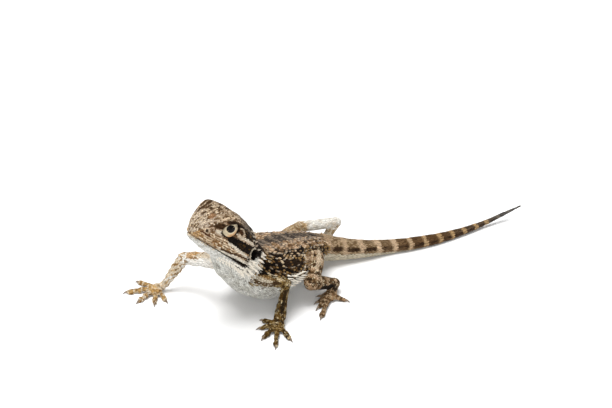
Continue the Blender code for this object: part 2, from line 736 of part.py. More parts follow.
def paint(ob, slot):
    colour, roughness = COLOURS[slot]
    material = bpy.data.materials.get(slot) or bpy.data.materials.new(slot)
    material.use_nodes = True
    shader = material.node_tree.nodes["Principled BSDF"]
    shader.inputs["Base Color"].default_value = colour
    shader.inputs["Roughness"].default_value = roughness
    shader.inputs["Metallic"].default_value = 0.0
    ob.data.materials.clear()
    ob.data.materials.append(material)


def centre_on_floor(obs):
    """Move everything so that the box's bottom centre is the origin."""
    points = np.array([v.co for ob in obs for v in ob.data.vertices])
    low = points.min(axis=0)
    high = points.max(axis=0)
    shift = Vector((-(low[0] + high[0]) / 2, -(low[1] + high[1]) / 2, -low[2]))
    for ob in obs:
        ob.data.transform(Matrix.Translation(shift))


def main():
    clear_scene()
    nodes = make_spine_nodes()
    nodes.update(make_head())
    for key in LEGS:
        nodes.update(make_leg(key))
    nodes["eye_left"] = make_eye(1)
    nodes["eye_right"] = make_eye(-1)
    for name, ob in nodes.items():
        ob.name = name
        paint(ob, SLOTS.get(name, "skin"))
    centre_on_floor(list(nodes.values()))


main()
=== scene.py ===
"""Looks of a young central bearded dragon: one skin, keeled scales, spines, eyes and claws.

Shapes are made in millimetres on the animal's own sizes, head to -Y, left side to +X, and are set
into the frame at the end. One colour function paints both the skin and the scales over it.
"""

import math

import bmesh
import bpy
import numpy as np
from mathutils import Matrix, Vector
from mathutils.bvhtree import BVHTree
from mathutils.kdtree import KDTree


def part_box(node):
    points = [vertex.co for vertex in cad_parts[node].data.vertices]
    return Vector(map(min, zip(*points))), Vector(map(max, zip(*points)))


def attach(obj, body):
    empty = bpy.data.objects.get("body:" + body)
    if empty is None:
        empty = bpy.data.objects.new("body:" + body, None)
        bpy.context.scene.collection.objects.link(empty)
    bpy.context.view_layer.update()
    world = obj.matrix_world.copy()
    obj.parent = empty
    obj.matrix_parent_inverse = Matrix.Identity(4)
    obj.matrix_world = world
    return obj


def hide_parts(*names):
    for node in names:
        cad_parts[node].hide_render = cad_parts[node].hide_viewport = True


MM = 0.001
UPRIGHT = np.array((0.0, 0.0, 1.0))
PICTURE_WIDTH = 612

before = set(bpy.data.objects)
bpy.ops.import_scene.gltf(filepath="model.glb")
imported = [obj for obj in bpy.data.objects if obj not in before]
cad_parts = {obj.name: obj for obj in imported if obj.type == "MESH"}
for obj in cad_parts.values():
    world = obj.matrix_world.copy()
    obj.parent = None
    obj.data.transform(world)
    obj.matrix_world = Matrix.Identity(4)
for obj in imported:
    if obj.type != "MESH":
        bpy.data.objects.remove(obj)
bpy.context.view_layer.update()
rng = np.random.default_rng(11)

# Backbone: centre of each section, half width, height above and depth below the centre
BACKBONE = {
    "crest": (0.5, -28.4, 27.5, 4.4, 5.0, 4.2),
    "nape": (0.5, -27.4, 23.8, 5.7, 5.5, 5.6),
    "neck": (0.4, -25.8, 19.4, 6.6, 5.6, 7.1),
    "shoulders": (0.1, -22.9, 15.6, 8.2, 5.4, 7.4),
    "chest": (0.0, -17.8, 12.1, 11.3, 6.0, 9.1),
    "belly": (0.0, -11.0, 10.6, 11.3, 5.7, 6.2),
    "loin": (0.0, -4.0, 9.2, 8.6, 4.9, 5.2),
    "hips": (0.1, 1.5, 7.7, 6.6, 4.4, 4.8),
    "vent": (1.05, 6.45, 6.25, 4.7, 3.7, 3.9),
    "tail_root": (3.85, 11.45, 4.5, 3.5, 3.2, 3.35),
    "tail_12": (8.2, 17.85, 3.15, 2.7, 2.5, 2.55),
    "tail_20": (12.25, 24.9, 2.2, 2.0, 1.95, 2.3),
    "tail_28": (16.55, 31.75, 1.75, 1.75, 1.75, 1.85),
    "tail_35": (19.95, 38.55, 1.5, 1.45, 1.55, 1.6),
    "tail_44": (22.7, 46.4, 1.25, 1.15, 1.1, 1.15),
    "tail_53": (25.35, 54.9, 1.5, 0.8, 0.77, 0.84),
    "tail_61": (28.4, 63.0, 2.9, 0.5, 0.5, 0.5),
    "tail_tip": (30.0, 66.4, 3.8, 0.27, 0.27, 0.27),
}
# How square the sections are, over and under their centres
BACK_FULLNESS = 2.25
BELLY_FULLNESS = 2.3

# Head: the snout's tip, and the turn, rise and lean of the head in degrees
SNOUT = np.array((0.68, -43.0, 33.5))
HEAD_TURNS = (-0.3, 17.3, -8.2)
MOUTH_START = -0.25
MOUTH_SLOPE = -0.464
MOUTH_END = 18.6
# Distance back from the snout, then: crown height, crown half width, brow half width and height,
# cheek half width and height, lip half width, jaw half width, jaw depth; heights from the mouth line
HEAD = np.array([
    (-0.5, 1.1, 0.3, 0.6, 0.9, 0.7, 0.5, 0.7, 0.5, 0.5),
    (0.3, 3.0, 0.9, 1.6, 2.5, 1.7, 1.1, 1.7, 1.45, 1.1),
    (1.5, 4.6, 1.3, 2.55, 4.0, 2.6, 1.75, 2.6, 2.3, 1.6),
    (3.5, 6.7, 1.8, 3.5, 6.1, 3.6, 2.6, 3.8, 3.4, 1.9),
    (6.0, 8.9, 2.15, 4.55, 8.3, 4.4, 3.9, 4.85, 4.5, 2.3),
    (8.5, 10.6, 2.6, 5.3, 9.9, 4.95, 5.4, 5.7, 5.4, 2.7),
    (11.0, 11.4, 2.75, 5.45, 10.4, 5.4, 6.2, 6.3, 6.1, 2.9),
    (14.0, 11.4, 2.8, 5.2, 9.9, 6.2, 6.5, 6.9, 6.8, 3.2),
    (17.0, 10.9, 2.8, 5.05, 9.3, 6.8, 6.3, 7.3, 7.4, 3.4),
    (19.0, 10.4, 2.7, 4.85, 8.8, 6.7, 5.9, 7.1, 7.2, 3.4),
    (21.0, 9.9, 2.6, 4.5, 8.3, 6.2, 5.4, 6.3, 6.3, 3.3),
    (22.5, 9.0, 2.2, 3.7, 7.5, 5.1, 5.1, 5.1, 5.1, 2.8),
    (23.3, 7.9, 1.5, 2.6, 6.6, 3.6, 4.8, 3.6, 3.4, 1.8),
])
LIP_HEIGHT = 0.35
EYE_BACK = 9.75
EYE_HEIGHT = 6.8
# Centre of the eye in the solids: back and height
SOLID_EYE = (9.4, 6.7)
EYE_SIDE = 3.0
EYE_RADIUS = 2.8
EYE_OPENING = (1.7, 1.1)
LID_OUTER = 1.3
# How far the pupil looks back, out and up from the head
EYE_LOOK = (-0.41, 0.875, 0.26)
PUPIL_RADIUS = 1.2
PUPIL_TALL = 0.8
# Ear and nostril: distance back, height over the mouth line and half sizes
EAR = (19.9, 3.7, 1.7, 1.55)
EAR_DEPTH = 1.1
NOSTRIL = (2.3, 3.2, 0.36, 0.36)

# Legs: joint places, radii at the joints, the palm, and each digit's angle out and its length
LEGS = {
    "front_left": {
        "bones": ((3.5, -24.8, 13.8), (7.8, -24.6, 13.9), (11.7, -19.0, 11.0), (12.0, -22.0, 2.4)),
        "radii": (2.5, 2.05, 1.35, 1.7),
        "palm": (13.0, -24.2, 1.0),
        "palm_size": (2.1, 1.15),
        "digits": ((-86, 6.2), (-41, 5.9), (5, 7.6), (38, 10.4), (71, 8.1)),
    },
    "front_right": {
        "bones": ((-3.5, -24.8, 13.4), (-7.8, -25.0, 13.0), (-18.8, -26.4, 10.2), (-22.4, -30.6, 2.4)),
        "radii": (2.7, 2.4, 1.8, 1.15),
        "palm": (-24.2, -32.2, 1.0),
        "palm_size": (2.1, 1.15),
        "digits": ((-70, 7.4), (-40, 8.0), (-2, 8.4), (42, 9.4), (87, 8.0)),
    },
    "hind_left": {
        "bones": ((2.5, 0.5, 8.4), (7.4, -2.3, 9.2), (12.9, -10.2, 7.4), (13.5, -0.6, 2.8)),
        "radii": (3.1, 2.7, 2.1, 1.5),
        "palm": (14.9, -4.4, 1.1),
        "palm_size": (2.0, 1.25),
        "digits": ((-64, 4.2), (-18, 5.4), (6, 7.2), (25, 11.0), (113, 5.8)),
    },
    "hind_right": {
        "bones": ((-2.5, 1.0, 7.8), (-5.5, 1.5, 7.7), (-9.6, 11.6, 6.4), (-3.4, 20.6, 6.2)),
        "radii": (3.2, 2.8, 1.75, 1.65),
        "palm": (-5.2, 17.6, 1.1),
        "palm_size": (2.0, 1.25),
        "digits": ((-40, 4.8), (-8, 6.6), (18, 9.0), (38, 10.8), (128, 5.4)),
    },
}
DIGITS = 5
DIGIT_RADIUS = 0.78
# Of the middle of a digit, from its root to its tip: height, and radius as a share of the full one
DIGIT_HEIGHTS = (1.0, 1.0, 0.72, 0.53, 0.52)
DIGIT_RADII = (1.05, 1.0, 0.9, 0.68, 0.4)
DOME_ANGLES = (20, 40, 58, 72, 83)
# Gaps between the rings of points, and how many points a ring has
RING_GAP = 0.4
HEAD_RING_GAP = 0.3
TRUNK_SIDES = 96
UPPER_SIDES = 40
SHIN_SIDES = 36
PALM_SIDES = 32
TOE_SIDES = 20
CLAW_LENGTH = 1.3
CLAW_RINGS = 7
CLAW_SIDES = 10
EYE_SIDES = 72
CORNEA = 0.12

# Skin: size of its small faces, how deep it lies under the scales, and height of the soles
VOXEL = 0.21
SCALE_DEPTH = 0.1
SOLE_HEIGHT = 0.02
# Flat chart of the whole skin, and the share of it that one scale takes up
CHART_WIDTH = 132.0
PATCH = 0.003

# Stage: lights with their place, aim, width, depth and power, in metres and watts
LIGHTS = {
    "overhead": ((-0.05, -0.12, 0.55), (0.0, 0.0, 0.0), 0.42, 0.34, 4.4),
    "front": ((0.35, -0.42, 0.3), (0.0, -0.01, 0.015), 0.3, 0.25, 1.0),
}
SKY_STRENGTH = 0.38
WHITE = (1.0, 1.0, 1.0, 1.0)
FLOOR_REACH = 4.0
FLOOR_COLOUR = (0.93, 0.93, 0.93, 1.0)
# Finishes: roughness, strength and size of the grain, change of colour, gloss
FINISHES = {
    "skin": (0.68, 0.5, 0.16, 0.14, 0.05),
    "scale": (0.6, 0.3, 0.12, 0.1, 0.06),
    "spine": (0.55, 0.2, 0.2, 0.08, 0.1),
    "eye": (0.3, 0.0, 0.3, 0.05, 0.1),
    "claw": (0.35, 0.15, 0.3, 0.1, 0.3),
}

# Camera: where it stands, what it looks at and its focal length in picture pixels
CAMERA_AT = np.array((245.2, -289.1, 241.5))
CAMERA_AIM = np.array((-23.67, 31.31, 0.0))
CAMERA_FOCUS = 1600.0
SENSOR_WIDTH = 36.0

# Markings, as the usual 0 to 255 screen colours
DARK = (48, 32, 18)
BLACK = (14, 8, 4)
GREY_BROWN = (128, 113, 97)
SLATE = (60, 53, 48)
MID_GREY = (128, 126, 118)

# Pale rings of the tail: place of the first, gap to the next, and half the change of that gap
TAIL_RINGS = (42.4, 5.45, 0.055)
# Marks behind the head: place, degrees from the back, half sizes, unevenness, outer and inner edge,
# colour, strength; the black of the shoulder, then the pale spines and the black behind the ear
NECK_MARKS = [
    (13.0, 92, 1.7, 10.0, 0.4, 1.15, 0.8, BLACK, 0.95),
    (9.2, 111, 2.5, 31.0, 0.5, 1.1, 0.85, (226, 222, 212), 0.95),
    (9.7, 66, 0.8, 9.0, 0.6, 1.1, 0.8, (222, 214, 200), 0.9),
    (8.0, 66, 1.5, 16.0, 0.4, 1.1, 0.85, BLACK, 0.9),
]
# Where the pale underside starts: places along the backbone, degrees from the back
BELLY_EDGE = ((8, 12, 16, 30, 40, 46, 58, 70, 84, 100), (116, 116, 100, 93, 94, 88, 92, 116, 150, 178))
# Marks of the legs: place, part of the turn, half length, half width, colour, strength
LEG_MARKS = {
    "front_left.upper": [
        (4.6, 0.0, 3.0, 0.13, (196, 186, 168), 0.8),
        (4.4, 0.955, 3.2, 0.022, (70, 48, 26), 0.9),
        (4.8, 0.02, 3.4, 0.022, (70, 48, 26), 0.9),
        (4.2, 0.28, 1.9, 0.09, (14, 9, 5), 0.95),
        (6.1, 0.16, 2.0, 0.05, (116, 82, 42), 0.6),
        (7.0, 0.33, 2.2, 0.03, (222, 208, 184), 0.9),
        (8.1, 0.07, 1.0, 0.06, (58, 38, 16), 0.9),
        (9.6, 0.2, 1.6, 0.05, (206, 186, 152), 0.8),
    ],
    "front_left.shin": [
        (4.6, 0.37, 4.2, 0.06, (26, 17, 7), 0.75),
        (5.0, 0.06, 4.0, 0.05, (206, 192, 160), 0.8),
    ],
    # Painted shadow: black on the lower side of the near shin and on the foot under it
    "hind_left.shin": [(6.2, 0.91, 3.6, 0.11, (16, 10, 5), 0.95)],
    "hind_left.palm": [(1.4, 0.36, 1.6, 0.1, (30, 20, 10), 0.9)],
    "front_right.upper": [
        (8.0, 0.56, 7.0, 0.16, (226, 224, 219), 0.85),
        (12.3, 0.32, 1.3, 0.1, (190, 150, 104), 0.85),
        (10.3, 0.25, 1.0, 0.09, (178, 134, 80), 0.85),
        (10.9, 0.41, 2.0, 0.022, (136, 100, 62), 0.85),
    ],
    "hind_left.upper": [(9.5, 0.33, 5.0, 0.04, (206, 186, 160), 0.8)],
}

# Lines on the side of the head: places back and heights over the mouth line
EYE_STRIPE = [(9.8, 4.4), (11.8, 4.5), (14.2, 4.3), (17.0, 4.4), (19.2, 4.2)]
CHEEK_LINE = [(9.6, 3.3), (11.4, 3.0), (13.8, 2.6), (16.6, 2.2), (18.8, 1.5)]
TEMPLE_LINE = [(11.2, 6.8), (13.2, 6.3), (15.5, 6.5), (18.2, 6.2), (20.8, 5.4)]
MOUTH_LINE = [(7.4, 0.7), (10.5, 1.0), (13.6, 1.5), (16.8, 1.8)]
# Heights of the rows of beads over the lip, and widths of the rows along the crown
LIP_ROW = 0.6
CROWN_ROW = 1.0

# Scale: front, sides, rear corners, tip, two points on the keel and one sunk under the skin
SCALE = np.array([
    (-0.52, 0.0, 0.0),
    (-0.24, 0.46, 0.0),
    (0.3, 0.4, 0.12),
    (0.74, 0.0, 0.32),
    (0.3, -0.4, 0.12),
    (-0.24, -0.46, 0.0),
    (-0.2, 0.0, 0.24),
    (0.34, 0.0, 0.42),
    (0.0, 0.0, -0.55),
])
SCALE_FACES = np.array([
    (0, 5, 6), (0, 6, 1), (1, 6, 7), (1, 7, 2), (2, 7, 3), (6, 5, 4), (6, 4, 7), (7, 4, 3),
    (0, 1, 8), (1, 2, 8), (2, 3, 8), (3, 4, 8), (4, 5, 8), (5, 0, 8),
])
# Painted light and shade on each point of a scale: darker at the front and sides, a painted highlight on
# the keel and tip
SCALE_SHADING = np.array((0.5, 0.62, 0.85, 1.12, 0.85, 0.62, 0.95, 1.22, 0.6))
# Spine: heights and radii of its rings, for a height and a radius of 1
SPINE_SIDES = 5
SPINE_RINGS = ((-0.3, 1.0), (0.12, 1.0), (0.59, 0.55))
# Spacing of the scales along and round each part
SCALE_SPACING = {
    "body": (0.5, 0.54),
    "head": (0.4, 0.44),
    "upper": (0.46, 0.5),
    "shin": (0.42, 0.46),
    "palm": (0.38, 0.42),
    "digit": (0.42, 0.42),
}
# Meshes of scales, and how the names of the parts under each of them start
COATS = (
    ("scales_head", "head"),
    ("scales_body", "body"),
    ("scales_large", "body"),
    ("scales_front_legs", "front"),
    ("scales_hind_legs", "hind"),
)
# Large scales of the trunk: spacing along and round it, where they stand, and how much larger
LARGE_SPACING = (1.0, 0.88)
LARGE_FROM = (10, 96)
LARGE_ALONG = (9.5, 47)
LARGE_FACTORS = (1.55, 1.6, 1.6)
# Unevenness of the scales: their places and directions, their sizes, and their colours
SCATTER = 0.16
SIZE_SPREAD = 0.12
TONE_SPREAD = 0.1
# How far a root may lie from the skin, and where the head's scales end at the back
SCALE_REACH = 0.75
SPINE_REACH = 0.8
HEAD_END = 22.6

# Rows of spines on the trunk: angle from the side over the back, first and last place, spacing,
# length, radius, and how white they are
SPINE_ROWS = [
    (3, 19.2, 26.2, 1.2, 1.5, 0.27, 1.0),
    (-4, 19.0, 26.2, 1.2, 1.8, 0.28, 1.0),
    (-11, 19.4, 26.0, 1.3, 1.5, 0.27, 0.9),
    (-1, 31.5, 40.0, 1.5, 1.2, 0.28, 0.4),
    (-18, 19.0, 34.0, 1.7, 0.9, 0.26, 0.6),
    (9, 14.0, 40.0, 1.9, 0.9, 0.27, 0.15),
    (24, 13.5, 42.0, 2.2, 0.7, 0.26, 0.15),
    (40, 14.0, 43.0, 2.4, 0.7, 0.26, 0.3),
    (56, 14.0, 44.0, 2.2, 0.75, 0.27, 0.3),
    (72, 14.0, 44.0, 2.4, 0.6, 0.25, 0.3),
    (26, 9.6, 10.8, 1.1, 0.7, 0.28, 0.9),
    (14, 9.2, 10.9, 0.9, 1.0, 0.3, 1.0),
    (2, 7.6, 10.6, 0.75, 1.5, 0.3, 1.0),
    (-7, 7.4, 10.6, 0.75, 1.6, 0.3, 1.0),
    (-16, 7.4, 10.2, 0.75, 1.6, 0.3, 1.0),
    (-25, 7.4, 9.8, 0.75, 1.6, 0.3, 1.0),
    (-34, 7.4, 9.4, 0.8, 1.4, 0.3, 1.0),
    (-43, 7.4, 9.0, 0.8, 1.4, 0.28, 1.0),
]
# Spines on the head: distance back and height over the mouth line, length, radius
HEAD_SPINES = [
    (20.3, 9.1, 1.0, 0.3), (20.5, 8.2, 1.1, 0.3), (20.4, 7.2, 1.1, 0.3), (20.9, 6.3, 1.0, 0.3),
    (19.0, 9.2, 0.8, 0.27), (19.2, 8.2, 0.8, 0.27), (18.8, 7.3, 0.8, 0.27),
    (21.9, 5.2, 1.0, 0.3), (22.1, 4.2, 1.1, 0.3), (22.1, 3.2, 1.1, 0.3), (21.9, 2.3, 1.2, 0.3),
]
# Rows of the beard: height over the mouth line, first and last place back, spacing, length
BEARD_ROWS = [
    (1.5, 20.2, 22.6, 0.75, 1.2),
    (0.8, 19.4, 22.4, 0.75, 1.3),
    (0.1, 19.2, 22.0, 0.7, 1.4),
    (-0.6, 17.4, 21.6, 0.75, 1.4),
    (-1.1, 9.0, 17.2, 1.0, 0.9),
    (-1.8, 8.4, 20.8, 0.85, 1.4),
    (-2.5, 9.4, 19.8, 0.95, 1.2),
]
BEARD_RADIUS = 0.28


def unit(vector):
    vector = np.asarray(vector, float)
    return vector / np.maximum(np.linalg.norm(vector, axis=-1, keepdims=True), 1e-9)


def ramp(value, low, high):
    """0 below `low`, 1 above `high`, smooth between; `low` may be the larger."""
    t = np.clip((value - low) / (high - low), 0.0, 1.0)
    return t * t * (3 - 2 * t)


def within(value, start, full, fade, end):
    """1 from `full` to `fade`, 0 before `start` and after `end`."""
    return ramp(value, start, full) * ramp(value, end, fade)


def bell(value, middle, width):
    return np.exp(-(((value - middle) / width) ** 2))


def oval(u, v, at_u, at_v, half_u, half_v):
    """Distance from the middle of an oval mark, 1 at its edge."""
    return np.hypot((u - at_u) / half_u, (v - at_v) / half_v)


def from_whole(value):
    return np.abs(value - np.round(value))


def from_back(turn):
    """Degrees from the middle of the back, for turns that start at the left side."""
    return np.abs((360 * turn - 90 + 180) % 360 - 180)


def circle(count):
    angles = 2 * math.pi * np.arange(count) / count
    return np.cos(angles), np.sin(angles)


def smooth_rows(keys, rows, places):
    """Values of a smooth curve through `rows` at `keys`, read at `places`."""
    keys = np.asarray(keys, float)
    rows = np.asarray(rows, float)
    slopes = np.gradient(rows, keys, axis=0)
    places = np.clip(np.asarray(places, float), keys[0], keys[-1])
    i = np.clip(np.searchsorted(keys, places, side="right") - 1, 0, len(keys) - 2)
    span = (keys[i + 1] - keys[i])[:, None]
    t = (places - keys[i])[:, None] / span
    start = (2 * t**3 - 3 * t**2 + 1) * rows[i] + (t**3 - 2 * t**2 + t) * span * slopes[i]
    end = (3 * t**2 - 2 * t**3) * rows[i + 1] + (t**3 - t**2) * span * slopes[i + 1]
    return start + end


def lengths_along(points):
    steps = np.linalg.norm(np.diff(np.asarray(points, float), axis=0), axis=1)
    return np.concatenate([[0.0], np.cumsum(steps)])


def frames_on(tangents):
    """The side and the up direction of sections whose path runs along `tangents`."""
    tangents = unit(tangents)
    side = unit(np.cross(tangents, UPRIGHT))
    return side, np.cross(side, tangents)


def head_axes():
    """Unit vectors that run back along the head, to its left and up through its crown."""
    turn, rise, lean = (math.radians(v) for v in HEAD_TURNS)
    level_back = np.array((math.sin(-turn), math.cos(turn), 0.0))
    level_left = np.array((math.cos(turn), math.sin(turn), 0.0))
    back = level_back * math.cos(rise) - UPRIGHT * math.sin(rise)
    crown = level_back * math.sin(rise) + UPRIGHT * math.cos(rise)
    left = level_left * math.cos(lean) + crown * math.sin(lean)
    return back, left, crown * math.cos(lean) - level_left * math.sin(lean)


BACK, LEFT, UP = head_axes()
SECTIONS = np.array(list(BACKBONE.values()))
SECTION_PLACES = lengths_along(SECTIONS[:, :3])


def mouth_height(back):
    return MOUTH_START + MOUTH_SLOPE * back


def head_point(back, side, height):
    across = np.multiply.outer(back, BACK) + np.multiply.outer(side, LEFT)
    return SNOUT + across + np.multiply.outer(height, UP)


def head_coordinates(points):
    """Distance back, to the left, and height over the mouth line."""
    offset = points - SNOUT
    back = offset @ BACK
    return back, offset @ LEFT, offset @ UP - mouth_height(back)


def closed_curve(corners, count):
    """Points of a smooth closed curve through `corners`."""
    place = np.arange(count) / count * len(corners)
    i = place.astype(int)
    f = (place - i)[:, None]
    before, here, after, beyond = (corners[(i + k) % len(corners)] for k in (-1, 0, 1, 2))
    square = (2 * before - 5 * here + 4 * after - beyond) * f**2
    cube = (3 * here - before - 3 * after + beyond) * f**3
    return 0.5 * (2 * here + (after - before) * f + square + cube)


def head_surface():
    """Places along the head and its rings, each from the crown round its right side."""
    backs = np.arange(-0.5, HEAD[-1, 0] + HEAD_RING_GAP / 2, HEAD_RING_GAP)
    rings = []
    for row in smooth_rows(HEAD[:, 0], HEAD, backs):
        back, top, crown, brow, brow_up, cheek, cheek_up, lip, jaw, depth = row
        across = np.array((crown, brow, cheek, lip, jaw, 0.62 * jaw))
        heights = np.array((top, brow_up, cheek_up, LIP_HEIGHT, -0.45 * depth, -0.9 * depth))
        across = np.concatenate([[0.0], across, [0.0], -across[::-1]])
        heights = np.concatenate([[top], heights, [-depth], heights[::-1]])
        curve = closed_curve(np.column_stack([across, heights]), TRUNK_SIDES)
        rings.append(head_point(back, curve[:, 0], curve[:, 1] + mouth_height(back)))
    return backs, np.array(rings)


def body_surface():
    """Places along the backbone and the rings of the trunk and tail, each from the left side up."""
    places = np.arange(0.0, SECTION_PLACES[-1], RING_GAP)
    rows = smooth_rows(SECTION_PLACES, SECTIONS, places)
    side, up = frames_on(np.gradient(rows[:, :3], axis=0))
    cosines, sines = circle(TRUNK_SIDES)
    power = np.where(sines >= 0, 2 / BACK_FULLNESS, 2 / BELLY_FULLNESS)
    x = rows[:, 3, None] * np.sign(cosines) * np.abs(cosines) ** power
    tall = np.where(sines >= 0, rows[:, 4, None], rows[:, 5, None])
    z = tall * np.sign(sines) * np.abs(sines) ** power
    return places, rows[:, None, :3] + x[..., None] * side[:, None] + z[..., None] * up[:, None]


def tube_surface(points, radii, sides, domed_start):
    """Places along a round tube and its rings, with a dome on its far end or on both."""
    keys = lengths_along(points)
    places = np.linspace(0, keys[-1], max(3, round(keys[-1] / RING_GAP)) + 1)
    rows = smooth_rows(keys, np.column_stack([points, radii]), places)
    tangents = unit(np.gradient(rows[:, :3], axis=0))
    side = frames_on(tangents[0])[0]
    cosines, sines = circle(sides)
    spokes = []
    for tangent in tangents:
        side = unit(side - tangent * np.dot(side, tangent))
        spokes.append(np.outer(cosines, side) + np.outer(sines, np.cross(side, tangent)))
    rings = [row[:3] + row[3] * spoke for row, spoke in zip(rows, spokes)]
    places = list(places)
    for index, sign in ((0, -1), (-1, 1)) if domed_start else ((-1, 1),):
        centre, radius, end = rows[index, :3], rows[index, 3], places[index]
        for angle in np.radians(DOME_ANGLES):
            rise = sign * radius * math.sin(angle)
            ring = centre + rise * tangents[index] + radius * math.cos(angle) * spokes[index]
            where = 0 if sign < 0 else len(rings)
            rings.insert(where, ring)
            places.insert(where, end + rise)
    return np.array(places), np.array(rings)


def oval_rings(centres, side, up, wide, tall, sides):
    """Rings of given half widths and heights round the points of a path."""
    cosines, sines = circle(sides)
    rings = centres[:, None] + wide[:, None, None] * cosines[:, None] * side
    return rings + tall[:, None, None] * sines[:, None] * up


def palm_surface(leg):
    """The flattened hand or foot, from the wrist or ankle to the roots of the digits."""
    end = np.array(leg["bones"][3])
    palm = np.array(leg["palm"])
    half_width, half_height = leg["palm_size"]
    ankle = leg["radii"][3] * 0.95
    heel_to_toe = unit((palm - end) * (1.0, 1.0, 0.0))
    rows = np.array([
        (*end, ankle, ankle),
        (*(0.45 * end + 0.55 * palm), half_width * 0.72, half_height * 1.1),
        (*palm, half_width, half_height),
        (*(palm + heel_to_toe * 1.5), half_width * 0.75, half_height * 0.8),
    ])
    keys = lengths_along(rows[:, :3])
    places = np.linspace(0, keys[-1], 14)
    rows = smooth_rows(keys, rows, places)
    side, up = frames_on(np.gradient(rows[:, :3], axis=0))
    return places, oval_rings(rows[:, :3], side[:, None], up[:, None], rows[:, 3], rows[:, 4], PALM_SIDES)


def digit_path(leg, index, mirror):
    """The root, the level headings along and across, and the length of the flesh of a digit."""
    angle, length = leg["digits"][index]
    heading = math.radians(angle) * mirror
    out = np.array((math.sin(heading), -math.cos(heading), 0.0))
    root = np.array((leg["palm"][0], leg["palm"][1], 0.0))
    return root, out, np.array((-out[1], out[0], 0.0)), length - CLAW_LENGTH


def digit_surface(leg, index, mirror):
    """A toe that arches over its knuckles, slightly swollen at each joint."""
    root, out, side, toe = digit_path(leg, index, mirror)
    keys = np.array((0.6, 0.42 * (toe + CLAW_LENGTH), 0.75 * toe, toe - 0.1, toe + 0.12))
    places = np.linspace(keys[0], keys[-1], max(8, round(toe / RING_GAP)))
    radii = np.array(DIGIT_RADII) * DIGIT_RADIUS
    rows = smooth_rows(keys, np.column_stack([DIGIT_HEIGHTS, radii]), places)
    radius = rows[:, 1] * (1 + 0.07 * np.cos(2 * math.pi * places / 2.3))
    centres = root + places[:, None] * out + rows[:, :1] * UPRIGHT
    return places, oval_rings(centres, side, UPRIGHT, radius, radius, TOE_SIDES)


def make_parts():
    """Every length of the animal: places along it, rings of points and a corner on the chart."""
    parts = {"body": (*body_surface(), (2.0, 2.0)), "head": (*head_surface(), (107.0, 2.0))}
    for n, (key, leg) in enumerate(LEGS.items()):
        thigh, mid, knee, ankle = leg["bones"]
        radii = leg["radii"]
        upper = tube_surface((thigh, mid, knee), radii[:3], UPPER_SIDES, False)
        parts[f"{key}.upper"] = (*upper, (2.0 + 30.0 * n, 68.0))
        shin = (knee, 0.6 * np.array(knee) + 0.4 * np.array(ankle), ankle)
        shin = tube_surface(shin, (radii[2] * 0.95, radii[2] * 0.93, radii[3]), SHIN_SIDES, True)
        parts[f"{key}.shin"] = (*shin, (17.0 + 30.0 * n, 68.0))
        parts[f"{key}.palm"] = (*palm_surface(leg), (2.0 + 10.0 * n, 118.0))
        for i in range(DIGITS):
            line, column = divmod(n * DIGITS + i, 10)
            toe = digit_surface(leg, i, mirror_of(key))
            parts[f"{key}.digit_{i}"] = (*toe, (2.0 + 13.0 * column, 94.0 + 11.0 * line))
    return parts


def mirror_of(key):
    return 1 if key.endswith("left") else -1


def placed(name, data):
    ob = bpy.data.objects.new(name, data)
    bpy.context.scene.collection.objects.link(ob)
    return ob


def quads(rows, count, first=0):
    """Corners of the faces between rings of `count` points, row by row."""
    a = first + np.arange((rows - 1) * count).reshape(-1, count)
    b = np.roll(a, -1, axis=1)
    return np.stack([a, b, b + count, a + count], axis=-1).reshape(-1, 4)


def halves(faces):
    return faces[:, [0, 1, 2, 0, 2, 3]].reshape(-1, 3)


def face_outward(mesh):
    bm = bmesh.new()
    bm.from_mesh(mesh)
    bmesh.ops.recalc_face_normals(bm, faces=bm.faces)
    if bm.calc_volume(signed=True) < 0:
        bmesh.ops.reverse_faces(bm, faces=bm.faces)
    bm.to_mesh(mesh)
    bm.free()


def remeshed():
    """All lengths, each a closed tube with flat ends, melted into one surface of small quads."""
    bm = bmesh.new()
    for name, (_, rings, _) in PARTS.items():
        count, sides = rings.shape[:2]
        ends = np.arange(count * sides).reshape(count, sides)[[0, -1]]
        piece = bpy.data.meshes.new(name)
        faces = quads(count, sides).tolist() + ends.tolist()
        piece.from_pydata(rings.reshape(-1, 3).tolist(), [], faces)
        face_outward(piece)
        bm.from_mesh(piece)
    mesh = bpy.data.meshes.new("skin")
    bm.to_mesh(mesh)
    bm.free()
    ob = placed("skin", mesh)
    modifier = ob.modifiers.new("melt", "REMESH")
    modifier.mode = "VOXEL"
    modifier.voxel_size = VOXEL
    modifier.adaptivity = 0.0
    graph = bpy.context.evaluated_depsgraph_get()
    melted = bpy.data.meshes.new_from_object(ob.evaluated_get(graph))
    ob.modifiers.clear()
    ob.data = melted
    return ob


def read(items, field, width, kind=float):
    """One field of all the vertices or edges of a mesh, as rows."""
    values = np.empty(len(items) * width, kind)
    items.foreach_get(field, values)
    return values.reshape(-1, width)


def set_points(mesh, points):
    mesh.vertices.foreach_set("co", np.asarray(points, np.float32).ravel())
    mesh.update()


def relax(points, ends, amount):
    """Move every point towards the mean of its neighbours."""
    total = np.zeros_like(points)
    count = np.zeros(len(points))
    for a, b in (ends.T, ends.T[::-1]):
        np.add.at(total, a, points[b])
        np.add.at(count, a, 1)
    mean = total / np.maximum(count, 1)[:, None]
    return points + amount * (mean - points)


def lattice(cells, seed):
    """A repeatable value from 0 to 1 for each cell of a grid."""
    x, y, z = (cells[..., k].astype(np.int64) for k in range(3))
    mixed = (x * 73856093) ^ (y * 19349663) ^ (z * 83492791) ^ (seed * 2654435761)
    mixed = (mixed ^ (mixed >> 13)) * 1274126177 & 0x7FFFFFFF
    return ((mixed ^ (mixed >> 16)) & 0xFFFF) / 65535.0


